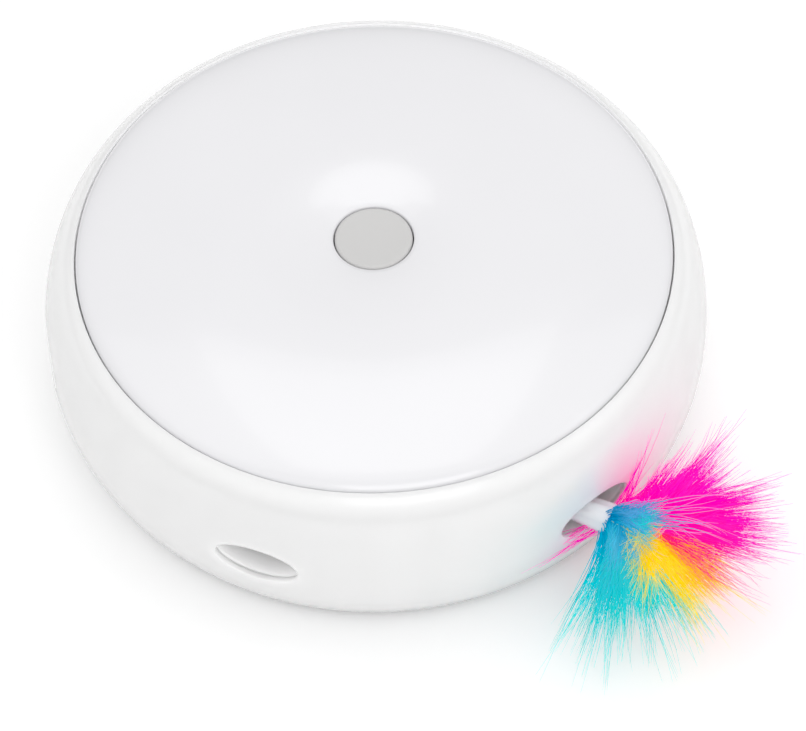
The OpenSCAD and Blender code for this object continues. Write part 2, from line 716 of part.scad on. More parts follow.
module switch_plunger() color("black")
    translate([0, 0, switch_top - plunger_l]) cylinder(r = plunger_d / 2, h = plunger_l);
module button_cap() color(button_grey) difference() {
    union() {
        rotate_extrude($fn = 96) difference() {
            union() {
                translate([0, flange_z]) square([button_r, button_top - flange_z - button_edge]);
                translate([0, button_top - 2 * button_edge])
                    square([button_r - button_edge, 2 * button_edge]);
                translate([button_r - button_edge, button_top - button_edge])
                    circle(r = button_edge, $fn = 24);
                translate([0, flange_z]) square([button_r + button_flange, flange_t]);
            }
            translate([0, flange_z - 1])
                square([button_r - button_skirt, button_top - button_t - flange_z + 1]);
            translate([0, button_top - button_dish + dish_curve]) circle(r = dish_curve, $fn = 720);
            translate([-far, 0]) square([far, far]);
        }
        translate([0, 0, switch_top]) cylinder(r = button_stem_r, h = button_top - switch_top - 1);
    }
}
module button_spring() color("silver")
    coil(spring_r, spring_wire, board_top, button_top - button_t, spring_turns);

// Turntable and what it carries
module turntable() color([0.88, 0.88, 0.9]) in_turret() difference() {
    union() {
        translate([0, 0, table_z]) cylinder(r = table_r, h = table_t, $fn = 128);
        tube(table_r, table_r - table_lip_t, table_top - eps, table_top + table_lip);
        translate([0, 0, hub_z]) cylinder(r = hub_r, h = hub_top - hub_z);
        translate([axle_x, axle_y, table_top - eps]) cylinder(r = axle_boss_r, h = rack_z - table_top - 0.2);
        for (a = [30 : 30 : 150]) rotate([0, 0, a])
            block(hub_r - 1, table_r - 1, -table_lip_t / 2, table_lip_t / 2,
                  table_top - eps, table_top + table_lip);
    }
    translate([0, 0, boss_top]) cylinder(r = spindle_r + run, h = far);
    for (a = [15 : 30 : 165]) rotate([0, 0, a]) translate([0.7 * table_r, 0, table_z - 1])
        cylinder(r = table_hole_r, h = table_t + table_lip + 2);
    translate([axle_x, axle_y, axle_z]) cylinder(r = shaft_r + press, h = far);
}
module turret_gear() color("white") in_turret() rotate([0, 0, 90 - wand_yaw])
    translate([0, 0, turret_gear_z]) gear(turret_teeth, turn_m, table_z - turret_gear_z, hub_r + press);
module retaining_clip() color("silver") difference() {
    tube(spindle_r + 2.4, spindle_r - 0.45, ring_z + run, ring_z + ring_t - run);
    block(0, far, -0.8 * spindle_r, 0.8 * spindle_r, 0, far);
}
module slip_ring_board() color([0.1, 0.45, 0.25]) tube(slip_in + slip_w, slip_in, table_z - slip_t, table_z);
module slip_tracks() color("gold") for (i = [-1 : 1])
    tube(slip_r + i * slip_step + slip_track_w / 2, slip_r + i * slip_step - slip_track_w / 2,
         table_z - slip_t - track_cu, table_z - slip_t);
module slide_track() color([0.88, 0.88, 0.9]) in_turret() translate([0, track_y, 0]) {
    block(-track_l, track_l, -track_w, track_w, table_top, track_floor);
    block(-track_l, -carriage_rear - reach - stop_gap, -flange_w, flange_w,
          track_floor - eps, track_floor + stop_h);
    block(carriage_front + stop_gap, carriage_front + stop_gap + stop_h, -flange_w, flange_w,
          track_floor - eps, track_floor + stop_h);
    for (s = [-1, 1]) mirror([0, s < 0 ? 1 : 0, 0])
        block(-track_l, track_l, flange_w + 0.2, track_w, track_floor - eps, keeper_z);
}
module keeper_strips() color("silver") in_turret() translate([0, track_y, 0]) for (s = [-1, 1])
    mirror([0, s < 0 ? 1 : 0, 0])
        block(-track_l, track_l, keeper_in, track_w, keeper_z, keeper_z + keeper_t);
module reach_motor() color("silver") in_turret() translate([reach_motor_at[0], reach_motor_at[1], 0]) {
    translate([0, 0, table_top]) motor(motor_r - 0.3, reach_motor_h);
}
module reach_axle() color("silver") in_turret() translate([axle_x, axle_y, 0]) {
    tube(shaft_r, 0, axle_z, wheel_z + wheel_t + 0.9);
    tube(shaft_r + 0.9, 0, wheel_z + wheel_t + 0.15, wheel_z + wheel_t + 0.9);
}

// Carriage with its rack and socket, and the gears that push it
module rack_carriage() color([0.75, 0.75, 0.78]) in_turret() difference() {
    union() {
        translate([0, track_y, 0]) {
            block(-carriage_rear, carriage_front, -flange_w, flange_w, track_floor + 0.1, keeper_z - 0.2);
            block(-carriage_rear, carriage_front, -rib_w, rib_w, track_floor + 0.1, rack_z);
        }
        rack_bar();
        translate([socket_rear - 2, track_y, port_z]) rotate([0, 90, 0])
            cylinder(r = socket_r, h = socket_l + 2);
        translate([0, track_y, 0])
            block(socket_rear - 2, carriage_front, -rib_w, rib_w, rack_z - eps, port_z);
    }
    translate([socket_rear, track_y, port_z]) rotate([0, 90, 0]) cylinder(r = wand_r - run, h = far);
}
module rack_bar() {
    pitch = PI * rack_m;
    first = axle_x + pitch / 2 - pitch * ceil((axle_x + carriage_rear - pitch) / pitch);
    teeth = floor((carriage_front - 1.3 * rack_m - first) / pitch) + 1;
    half = pitch / 4 - tooth_play / 2;
    lean = tan(tooth_lean) * rack_m;
    block(-carriage_rear, carriage_front, track_y - rib_w, pitch_y - tooth_foot * rack_m,
          rack_z - eps, rack_z + rack_h);
    translate([0, pitch_y, rack_z]) linear_extrude(rack_h)
        for (k = [0 : teeth - 1]) translate([first + k * pitch, 0]) polygon([
            [-half - tooth_foot * lean, -tooth_foot * rack_m - eps],
            [half + tooth_foot * lean, -tooth_foot * rack_m - eps],
            [half - tooth_head * lean, tooth_head * rack_m],
            [-half + tooth_head * lean, tooth_head * rack_m]]);
}
module reach_gear() color("white") in_turret() translate([axle_x, axle_y, 0]) {
    translate([0, 0, rack_z + 0.2]) rotate([0, 0, -90]) gear(rack_teeth, rack_m, rack_h - 0.2, shaft_r + run);
    translate([0, 0, rack_z + rack_h - eps]) difference() {
        cylinder(r = axle_boss_r, h = wheel_z - rack_z - rack_h + 2 * eps);
        translate([0, 0, -1]) cylinder(r = shaft_r + run, h = far);
    }
    translate([0, 0, wheel_z]) rotate([0, 0, reach_angle]) gear(wheel_teeth, wheel_m, wheel_t, shaft_r + run);
}
module reach_shaft() color("silver") in_turret() translate([reach_motor_at[0], reach_motor_at[1], 0])
    tube(shaft_r, 0, table_top + reach_motor_h - motor_neck + shaft_in, wheel_z + wheel_t + 0.6);
module reach_pinion() color("white") in_turret()
    translate([reach_motor_at[0], reach_motor_at[1], wheel_z])
        rotate([0, 0, reach_angle + 180 + 180 / reach_teeth]) gear(reach_teeth, wheel_m, wheel_t, shaft_r);

// Wand: a fluted tube that flares to its mouth, with a plug that holds the quills
module wand_tube() color(white) on_wand_line(0) difference() {
    union() {
        translate([0, 0, socket_rear + 0.5]) cylinder(r = wand_r - 2 * run, h = socket_l);
        translate([0, 0, socket_front + 0.2]) cylinder(r = wand_r + 1, h = collar_t);
        translate([0, 0, socket_front + 1]) cylinder(r = wand_r, h = flare_z - socket_front - 1 + eps);
        translate([0, 0, flare_z]) cylinder(r1 = wand_r, r2 = wand_mouth_d / 2, h = flare_l);
    }
    translate([0, 0, flare_z - plug_l - 2]) cylinder(r = wand_bore_r, h = plug_l + 3);
    translate([0, 0, flare_z])
        cylinder(r1 = wand_bore_r, r2 = wand_mouth_d / 2 - wand_wall, h = flare_l + eps);
    for (k = [0 : flute_count - 1]) rotate([0, 0, (k + 0.5) * 360 / flute_count])
        translate([wand_r - flute_depth, 0, flare_z]) rotate([0, flute_lean, 0])
            block(0, 3, -flute_w / 2, flute_w / 2, 1, flare_l + 2);
}
module quill_plug() color([0.9, 0.88, 0.8]) on_wand_line(flare_z - plug_l) difference() {
    cylinder(r = wand_bore_r - press, h = plug_l);
    for (k = [0 : 2]) rotate([0, 0, k * 120]) translate([quill_r, 0, 1]) cylinder(r = quill_d / 2, h = far);
}

// Plumes. Each has a quill in the plug and a soft leaf-shaped body that bends to its aim
module plume(k, aim, l, half_w, half_t, ref) {
    on_wand_line(flare_z - plug_l + 1) rotate([0, 0, k * 120]) translate([quill_r, 0, 0])
        cylinder(r = quill_d / 2, h = flare_l + plug_l - 0.5);
    in_turret() translate([wand_mouth, track_y, port_z]) plume_body(k, aim, l, half_w, half_t, ref);
}
function bend(f, a, b, c) = (1 - f) * (1 - f) * a + 2 * f * (1 - f) * b + f * f * c;
module plume_body(k, aim, l, half_w, half_t, ref) {
    start = [0.4, quill_r * sin(k * 120), -quill_r * cos(k * 120)];
    tip = l * unit(aim);
    turn = [l * 0.1, 0, 0] + 0.45 * tip;
    p = [for (i = [0 : plume_steps]) bend(i / plume_steps, start, turn, tip)];
    swept(p, [for (i = [0 : plume_steps]) let (f = i / plume_steps,
            w = pow(sin(180 * (0.01 + 0.97 * f)), 1.7))
        [max(0.6, half_w * w), max(0.5, half_t * w)]], 12, ref, unit(tip - start));
}
module feather_magenta() color([0.93, 0.05, 0.6])
    plume(1, [45, 27, 5], magenta_l, 12, 5.5, [-0.3, 0.55, -0.78]);
module feather_blue() color([0.1, 0.6, 0.85])
    plume(2, [14, -33, -26], blue_l, 8, 5, [-0.3, 0.55, -0.78]);
module feather_yellow() color([0.98, 0.85, 0.1])
    plume(0, [42, -12, -22], yellow_l, 5.5, 4, [-0.3, 0.55, -0.78]);

housing_shell();
port_drum();
lid_dome();
base_tray();
foot_ring();
case_screws();
spindle();
thrust_washer();
turn_motor();
turn_shaft();
turn_pinion();
battery_door();
door_screw();
cell_left();
cell_middle();
cell_right();
battery_contacts();
battery_springs();
brush_block();
brush_leaves();
lead_bundle();
switch_board();
board_parts();
board_screws();
switch_body();
switch_plunger();
button_cap();
button_spring();
turntable();
turret_gear();
retaining_clip();
slip_ring_board();
slip_tracks();
slide_track();
keeper_strips();
reach_motor();
reach_axle();
rack_carriage();
reach_gear();
reach_shaft();
reach_pinion();
wand_tube();
quill_plug();
feather_magenta();
feather_blue();
feather_yellow();
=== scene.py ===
import json
import math

import bmesh
import bpy
from mathutils import Matrix, Vector


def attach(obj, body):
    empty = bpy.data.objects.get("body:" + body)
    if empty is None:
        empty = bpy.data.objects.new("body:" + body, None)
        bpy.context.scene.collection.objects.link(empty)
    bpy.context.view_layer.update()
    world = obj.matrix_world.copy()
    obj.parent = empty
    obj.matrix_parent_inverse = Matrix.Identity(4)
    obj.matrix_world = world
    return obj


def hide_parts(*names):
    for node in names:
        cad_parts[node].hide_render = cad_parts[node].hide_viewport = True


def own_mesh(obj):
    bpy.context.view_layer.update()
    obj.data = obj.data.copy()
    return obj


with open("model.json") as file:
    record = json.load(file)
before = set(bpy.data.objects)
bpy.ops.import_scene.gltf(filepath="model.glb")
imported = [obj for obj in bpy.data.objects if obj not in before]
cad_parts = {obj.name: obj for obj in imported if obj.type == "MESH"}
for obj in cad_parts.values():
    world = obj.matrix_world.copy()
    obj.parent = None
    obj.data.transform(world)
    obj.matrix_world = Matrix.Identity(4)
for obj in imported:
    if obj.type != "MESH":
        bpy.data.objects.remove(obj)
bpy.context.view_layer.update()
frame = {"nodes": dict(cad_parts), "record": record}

mm = 0.001

# Camera. It looks down at the toy from the side of its wand, as the photograph does, with the
# middle of the lid's seam above and to the left of the picture's middle.
photo_w = 806
sensor_mm = 36
near_clip = 50 * mm
view_azimuth = math.radians(51.9)
view_elevation = math.radians(51.15)
view_distance = 1.0142
view_roll = math.radians(2.01)
focal_length_px = 3116.3
seam_right_px = -29.1
seam_down_px = -120.7
seam_z = 65.5 * mm

back = Vector((math.sin(view_azimuth) * math.cos(view_elevation),
               -math.cos(view_azimuth) * math.cos(view_elevation),
               math.sin(view_elevation)))
right = Vector((math.cos(view_azimuth), math.sin(view_azimuth), 0))
up = back.cross(right)
rolled_right = right * math.cos(view_roll) - up * math.sin(view_roll)
rolled_up = right * math.sin(view_roll) + up * math.cos(view_roll)
aim = Vector((seam_right_px, -seam_down_px, focal_length_px)).normalized()
turn = Vector((0, 0, 1)).rotation_difference(aim).to_matrix()
rows = [turn[i][0] * rolled_right + turn[i][1] * rolled_up - turn[i][2] * back for i in range(3)]
camera = bpy.data.objects.new("camera", bpy.data.cameras.new("camera"))
bpy.context.scene.collection.objects.link(camera)
camera.data.sensor_fit = "HORIZONTAL"
camera.data.sensor_width = sensor_mm
camera.data.lens = focal_length_px * sensor_mm / photo_w
camera.data.clip_start = near_clip
camera.location = Vector((0, 0, seam_z)) + back * view_distance
camera.rotation_mode = "QUATERNION"
world_from_camera = Matrix((rows[0], rows[1], -rows[2])).transposed()
camera.rotation_quaternion = world_from_camera.to_quaternion()
bpy.context.scene.camera = camera

# Studio. A pale floor and a white surround that darkens towards the horizon in the gloss, a
# large soft light in front of the toy, and weaker ones behind, beside and above it, whose
# reflections lie on the lid and the shoulder.
room_light = 0.85
low_light = 0.05
horizon_top = 0.6
floor_half = 3.0
floor_tone = 0.9
floor_rough = 0.9
floor_lift = 0.14


def new_material(name):
    material = bpy.data.materials.new(name)
    material.use_nodes = True
    return material, material.node_tree.nodes, material.node_tree.links


def seen_directly(nodes, links):
    """1 for camera, glossy and transmission rays, else 0."""
    path = nodes.new("ShaderNodeLightPath")
    first = nodes.new("ShaderNodeMath")
    first.operation = "MAXIMUM"
    second = nodes.new("ShaderNodeMath")
    second.operation = "MAXIMUM"
    links.new(path.outputs["Is Camera Ray"], first.inputs[0])
    links.new(path.outputs["Is Glossy Ray"], first.inputs[1])
    links.new(first.outputs[0], second.inputs[0])
    links.new(path.outputs["Is Transmission Ray"], second.inputs[1])
    return second.outputs[0]


world = bpy.data.worlds.new("studio")
world.use_nodes = True
bpy.context.scene.world = world
nodes = world.node_tree.nodes
links = world.node_tree.links
sky = nodes["Background"]
sky.inputs["Color"].default_value = (1, 1, 1, 1)
strength = nodes.new("ShaderNodeMapRange")
strength.inputs["To Min"].default_value = room_light
strength.inputs["To Max"].default_value = 1.0
links.new(seen_directly(nodes, links), strength.inputs["Value"])
direction = nodes.new("ShaderNodeTexCoord")
parts = nodes.new("ShaderNodeSeparateXYZ")
links.new(direction.outputs["Generated"], parts.inputs["Vector"])
horizon = nodes.new("ShaderNodeMapRange")
horizon.inputs["From Max"].default_value = horizon_top
horizon.inputs["To Min"].default_value = low_light
links.new(parts.outputs["Z"], horizon.inputs["Value"])
path = nodes.new("ShaderNodeLightPath")
dimmed = nodes.new("ShaderNodeMix")
links.new(path.outputs["Is Glossy Ray"], dimmed.inputs["Factor"])
dimmed.inputs["A"].default_value = 1.0
links.new(horizon.outputs["Result"], dimmed.inputs["B"])
level = nodes.new("ShaderNodeMath")
level.operation = "MULTIPLY"
links.new(strength.outputs["Result"], level.inputs[0])
links.new(dimmed.outputs["Result"], level.inputs[1])
links.new(level.outputs[0], sky.inputs["Strength"])

floor_mesh = bpy.data.meshes.new("floor")
floor_mesh.from_pydata([(x * floor_half, y * floor_half, 0)
                        for x, y in ((-1, -1), (1, -1), (1, 1), (-1, 1))], [], [(0, 1, 2, 3)])
floor = bpy.data.objects.new("floor", floor_mesh)
bpy.context.scene.collection.objects.link(floor)
floor_paint, nodes, links = new_material("pale_floor")
shader = nodes["Principled BSDF"]
shader.inputs["Base Color"].default_value = (floor_tone, floor_tone, floor_tone, 1)
shader.inputs["Roughness"].default_value = floor_rough
shader.inputs["Specular IOR Level"].default_value = 0.0
shader.inputs["Emission Color"].default_value = (1, 1, 1, 1)
path = nodes.new("ShaderNodeLightPath")
lift = nodes.new("ShaderNodeMath")
lift.operation = "MULTIPLY"
lift.inputs[1].default_value = floor_lift
links.new(path.outputs["Is Camera Ray"], lift.inputs[0])
links.new(lift.outputs[0], shader.inputs["Emission Strength"])
floor_mesh.materials.append(floor_paint)


def softbox(name, azimuth, elevation, distance, width, height, watts):
    """A soft light that stands round the toy, at an azimuth counted from the camera's own."""
    data = bpy.data.lights.new(name, "AREA")
    data.shape = "RECTANGLE"
    data.size = width
    data.size_y = height
    data.energy = watts
    lamp = bpy.data.objects.new(name, data)
    bpy.context.scene.collection.objects.link(lamp)
    a = view_azimuth + math.radians(azimuth)
    e = math.radians(elevation)
    out = Vector((math.sin(a) * math.cos(e), -math.cos(a) * math.cos(e), math.sin(e)))
    lamp.location = Vector((0, 0, seam_z)) + out * distance
    lamp.rotation_euler = out.to_track_quat("Z", "Y").to_euler()
    return lamp


softbox("back_softbox", azimuth=180, elevation=75, distance=1.6, width=0.7, height=0.95, watts=2.0)
softbox("front_softbox", azimuth=10, elevation=48, distance=2.0, width=1.2, height=1.0, watts=6)
softbox("side_softbox", azimuth=75, elevation=40, distance=2.0, width=0.8, height=0.8, watts=1.2)
card = softbox("top_card", azimuth=180, elevation=82, distance=1.3, width=2.4, height=1.0, watts=3.6)
card.visible_diffuse = False

# Housing. One moulded side wall of glossy white plastic that bulges round the toy and rolls over
# at the lid's seam. Six oval ports stand evenly round it, their mouths rounded into the wall,
# and a ledge inside the top edge carries the lid.
body_r = 110 * mm
belly_z = 31 * mm
wall = 2.2 * mm
shoulder_w = 14.3 * mm
shoulder_h = 34.8 * mm
lower_curve_r = 50 * mm
rim_z = 4 * mm
port_count = 6
port_half_w = 14 * mm
port_half_h = 7.5 * mm
port_z = 34 * mm
mouth_round = 3.2 * mm
mouth_depth = 0.4 * mm
# Painted glow on the ports' rounded mouths and cut edges; the wand's port, shaded by its plumes, gets a
# smaller share of it.
mouth_painted_glow = 0.02
edge_painted_glow = 0.09
wand_port_glow_share = 0.2
ledge_top = 61 * mm
ledge_t = 2 * mm
ledge_w = 5 * mm
edge_round = 0.35 * mm
edge_drop = 0.1 * mm
crown_in = 0.12 * mm
crown_low = 0.05 * mm
# Painted highlight on the seam's rounded edge.
seam_painted_glow = 0.2
skin_columns = 36
skin_rows = 22
skin_low = 7 * mm
skin_high = 58 * mm
blend_rings = 14
mouth_rings = 8
inner_rings = 3
shoulder_steps = 14
foot_steps = 4
merge_distance = 0.002 * mm
sector = math.radians(360 / port_count)
around = skin_columns * port_count
first_angle = -sector / 2


def outline_r(z, g=0.0):
    """Radius of the housing's outline at the height z, drawn in by g."""
    if z >= belly_z:
        rise = (z - belly_z) / (shoulder_h - g)
        return body_r - shoulder_w + (shoulder_w - g) * math.sqrt(max(0.0, 1 - rise * rise))
    return body_r - lower_curve_r + math.sqrt((lower_curve_r - g) ** 2 - (belly_z - z) ** 2)


seam_r = outline_r(seam_z)


def on_wall(y, z, g):
    """Point of the outline beside the port's axis, in the port's own frame."""
    r = outline_r(z, g)
    return Vector((math.sqrt(r * r - y * y), y, z))


def sector_border(columns, rows_up, z_low, z_high):
    """The points of a sector's border as (angle, height), counter-clockwise from its lower left."""
    half = sector / 2

    def at(a, b, k, n):
        return a + (b - a) * k / n

    return ([(at(-half, half, k, columns), z_low) for k in range(columns)]
            + [(half, at(z_low, z_high, k, rows_up)) for k in range(rows_up)]
            + [(at(half, -half, k, columns), z_high) for k in range(columns)]
            + [(-half, at(z_high, z_low, k, rows_up)) for k in range(rows_up)])


def oval_angle(border, z_low, z_high):
    """The angle on a port's oval that goes with a point of the sector's border."""
    middle = (z_low + z_high) / 2
    return math.atan2((border[1] - middle) / (z_high - z_low), border[0] / sector)


class Skin:
    """A mesh that is built ring by ring, each ring joined to the one before it.

    Its painted glow is painted light: how strongly the plastic glows at a point, standing in for light
    that comes through it.
    """

    def __init__(self):
        self.mesh = bmesh.new()
        self.painted_glow = self.mesh.verts.layers.float.new("painted_glow")

    def ring(self, points, painted_glow):
        made = [self.mesh.verts.new(p) for p in points]
        for v in made:
            v[self.painted_glow] = painted_glow
        return made

    def join(self, a, b):
        n = len(a)
        for k in range(n):
            self.mesh.faces.new((a[k], a[(k + 1) % n], b[(k + 1) % n], b[k]))

    def loft(self, rings, painted_glows=None):
        painted_glows = painted_glows or [0.0] * len(rings)
        made = [self.ring(points, painted_glow) for points, painted_glow in zip(rings, painted_glows)]
        for a, b in zip(made, made[1:]):
            self.join(a, b)
        return made

    def finish(self, name, sharp_degrees=40):
        bmesh.ops.remove_doubles(self.mesh, verts=self.mesh.verts, dist=merge_distance)
        if self.mesh.calc_volume(signed=True) < 0:
            bmesh.ops.reverse_faces(self.mesh, faces=self.mesh.faces)
        data = bpy.data.meshes.new(name)
        self.mesh.to_mesh(data)
        self.mesh.free()
        data.shade_smooth()
        data.set_sharp_from_angle(angle=math.radians(sharp_degrees))
        made = bpy.data.objects.new(name, data)
        bpy.context.scene.collection.objects.link(made)
        return made


def turned(point, angle):
    """The point turned about the toy's axis."""
    c = math.cos(angle)
    s = math.sin(angle)
    return Vector((c * point[0] - s * point[1], s * point[0] + c * point[1], point[2]))


def ease(t):
    """Sets the rings closer together near a port."""
    return t ** 1.5


border = sector_border(skin_columns, skin_rows, skin_low, skin_high)
angles = [oval_angle(p, skin_low, skin_high) for p in border]


def border_point(p, g):
    r = outline_r(p[1], g)
    return Vector((r * math.cos(p[0]), r * math.sin(p[0]), p[1]))


def oval_point(angle, out, g, sink=0.0):
    """Point beside a port at the distance out from its oval, sunk into the wall."""
    y = (port_half_w + out) * math.cos(angle)
    z = port_z + (port_half_h + out) * math.sin(angle)
    return on_wall(y, z, g) - Vector((sink, 0, 0))


def between(angle, p, t, g, out):
    """Point on the way from the oval's edge to the sector's border, on the wall."""
    start = oval_point(angle, out, g)
    theta = math.atan2(start.y, start.x) * (1 - t) + p[0] * t
    z = start.z * (1 - t) + p[1] * t
    r = outline_r(z, g)
    return Vector((r * math.cos(theta), r * math.sin(theta), z))


def mouth_sink(out):
    """How far the rounded mouth lies below the wall, at the distance out from the oval."""
    return mouth_depth * (1 - math.sqrt(max(0.0, 1 - (1 - out / mouth_round) ** 2)))


housing_skin = Skin()
# Painted light: each port's rounded mouth glows more towards its cut edge, and the cut edge glows most.
# The wand's port gets only a share of it, painted shade where the plumes shade it.
for port in range(port_count):
    glow_share = 1 if port else wand_port_glow_share
    rings = [[border_point(p, 0) for p in border]]
    for k in range(1, blend_rings + 1):
        t = ease(1 - k / blend_rings)
        rings.append([between(a, p, t, 0, mouth_round) for a, p in zip(angles, border)])
    painted_glows = [0.0] * len(rings)
    for k in range(1, mouth_rings + 1):
        out = mouth_round * (1 - math.sin(math.pi / 2 * k / mouth_rings))
        rings.append([oval_point(a, out, 0, mouth_sink(out)) for a in angles])
        painted_glows.append(mouth_painted_glow * glow_share * (1 - out / mouth_round))
    painted_glows[-1] = edge_painted_glow * glow_share
    for k in range(inner_rings + 1):
        t = ease(k / inner_rings)
        rings.append([between(a, p, t, wall, 0) for a, p in zip(angles, border)])
        painted_glows.append(0.0)
    rings[-1] = [border_point(p, wall) for p in border]
    housing_skin.loft([[turned(p, port * sector) for p in ring] for ring in rings], painted_glows=painted_glows)


def round_ring(r, z, count):
    return [Vector((r * math.cos(2 * math.pi * k / count), r * math.sin(2 * math.pi * k / count), z))
            for k in range(count)]


def wall_ring(r, z):
    """A ring round the toy whose points meet those of the ports' sectors."""
    return [turned(p, first_angle) for p in round_ring(r, z, around)]


start_rise = math.asin((skin_high - belly_z) / shoulder_h)
end_rise = math.asin((seam_z - belly_z) / shoulder_h)
ledge_low = ledge_top - ledge_t
profile = []
for k in range(shoulder_steps + 1):
    rise = start_rise + (end_rise - start_rise) * k / shoulder_steps
    profile.append((body_r - shoulder_w + shoulder_w * math.cos(rise),
                    belly_z + shoulder_h * math.sin(rise)))
profile[-1] = (seam_r + edge_round, profile[-1][1] - edge_drop)
profile += [(seam_r + crown_in, seam_z - crown_low), (seam_r, seam_z - edge_round),
            (seam_r, ledge_top), (seam_r - ledge_w, ledge_top), (seam_r - ledge_w, ledge_low),
            (outline_r(ledge_low, wall), ledge_low), (outline_r(skin_high, wall), skin_high)]
made = housing_skin.loft([wall_ring(r, z) for r, z in profile])
# Painted highlight: the seam's rounded edge glows on the side of the toy away from the camera, most at
# the very back.
for ring in made[shoulder_steps + 2:shoulder_steps + 4]:
    for v in ring:
        v[housing_skin.painted_glow] = seam_painted_glow * max(0.0, -v.co.xy.normalized().dot(back.xy.normalized()))
outer_foot = [skin_low + (rim_z - skin_low) * k / foot_steps for k in range(foot_steps + 1)]
profile = ([(outline_r(z), z) for z in outer_foot]
           + [(outline_r(z, wall), z) for z in reversed(outer_foot)])
housing_skin.loft([wall_ring(r, z) for r, z in reversed(profile)])
housing = housing_skin.finish("housing_wall")
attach(housing, "housing")
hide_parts("housing_shell")

coat_roughness = 0.04
tone_drift = 0.01
drift_scale = 14
drift_ends = (0.3, 0.7)
grain_height = 0.05 * mm


def plastic(name, colour, roughness, coat=0.0, grain=0.0, grain_size=0.4, depth=0.0):
    """Moulded plastic with a faint drift of tone and, where it has one, a fine grain.

    grain_size is in millimetres, and depth is how far light spreads in the plastic.
    """
    material, nodes, links = new_material(name)
    shader = nodes["Principled BSDF"]
    shader.inputs["Roughness"].default_value = roughness
    shader.inputs["Coat Weight"].default_value = coat
    shader.inputs["Coat Roughness"].default_value = coat_roughness
    # Emission from the mesh's glow layer is painted light: the plastic glows in its own colour where the
    # layer is set.
    shader.inputs["Emission Color"].default_value = (*colour, 1)
    painted_glow = nodes.new("ShaderNodeAttribute")
    painted_glow.attribute_name = "painted_glow"
    links.new(painted_glow.outputs["Fac"], shader.inputs["Emission Strength"])
    if depth:
        shader.inputs["Subsurface Weight"].default_value = 1
        shader.inputs["Subsurface Radius"].default_value = (1, 1, 1)
        shader.inputs["Subsurface Scale"].default_value = depth
    place = nodes.new("ShaderNodeTexCoord")
    drift = nodes.new("ShaderNodeTexNoise")
    drift.inputs["Scale"].default_value = drift_scale
    drift.inputs["Detail"].default_value = 2
    links.new(place.outputs["Object"], drift.inputs["Vector"])
    ramp = nodes.new("ShaderNodeValToRGB")
    darker = [c * (1 - tone_drift) for c in colour]
    lighter = [min(1, c * (1 + tone_drift)) for c in colour]
    for end, position, shade in zip(ramp.color_ramp.elements, drift_ends, (darker, lighter)):
        end.position = position
        end.color = (*shade, 1)
    links.new(drift.outputs["Fac"], ramp.inputs["Fac"])
    links.new(ramp.outputs["Color"], shader.inputs["Base Color"])
    if grain:
        speck = nodes.new("ShaderNodeTexNoise")
        speck.inputs["Scale"].default_value = 1 / (grain_size * mm)
        speck.inputs["Detail"].default_value = 3
        links.new(place.outputs["Object"], speck.inputs["Vector"])
        bump = nodes.new("ShaderNodeBump")
        bump.inputs["Strength"].default_value = grain
        bump.inputs["Distance"].default_value = grain_height
        links.new(speck.outputs["Fac"], bump.inputs["Height"])
        links.new(bump.outputs["Normal"], shader.inputs["Normal"])
    return material


housing.data.materials.append(plastic("glossy_white", (0.9, 0.9, 0.9), 0.22, coat=0.4, depth=3 * mm))

# Port drum. A thin grey-white drum behind the housing wall. Each of its six oval tunnels widens
# inwards and ends a hair's breadth behind its port, so that a dark line rings the port.
drum_r = 99.2 * mm
drum_in = 97.6 * mm
drum_low = 4.4 * mm
drum_high = 52 * mm
tunnel_t = 1.5 * mm
tunnel_gap = 0.45 * mm
tunnel_flare = 0.5
lip_round = 1.6 * mm
lip_steps = 4
tip_in = 0.3 * mm
tip_proud = 0.1 * mm
# Painted glow of the tunnels' lips and of their depths.
lip_painted_glow = 0.44
deep_painted_glow = 0.14
drum_rings = 4
deep_shares = (0.15, 0.3, 0.5, 0.75)
meeting_tries = 12
drum_skin = Skin()
drum_border = sector_border(skin_columns, skin_rows, drum_low, drum_high)
drum_angles = [oval_angle(p, drum_low, drum_high) for p in drum_border]


def tunnel_point(angle, extra, x):
    """Point of a tunnel's oval at the distance x from the drum's axis."""
    grow = port_half_w + extra + tunnel_flare * (body_r - wall - x)
    height = grow * port_half_h / port_half_w
    return Vector((x, grow * math.cos(angle), port_z + height * math.sin(angle)))


def tunnel_on(angle, extra, radius_at):
    """Where a tunnel's wall meets the round surface of radius radius_at(z)."""
    x = drum_in
    for _ in range(meeting_tries):
        p = tunnel_point(angle, extra, x)
        x = math.sqrt(radius_at(p.z) ** 2 - p.y ** 2)
    return tunnel_point(angle, extra, x)


def drum_ring(t, r, extra):
    """Ring on the drum's surface of radius r, at the share t of the way to the sector's border."""
    ring = []
    for a, p in zip(drum_angles, drum_border):
        start = tunnel_on(a, extra, lambda z: r)
        theta = math.atan2(start.y, start.x) * (1 - t) + p[0] * t
        z = start.z * (1 - t) + p[1] * t
        ring.append(Vector((r * math.cos(theta), r * math.sin(theta), z)))
    return ring


def lip(z):
    """Radius of the tunnels' ends, just inside the housing wall."""
    return outline_r(z, wall + tunnel_gap)


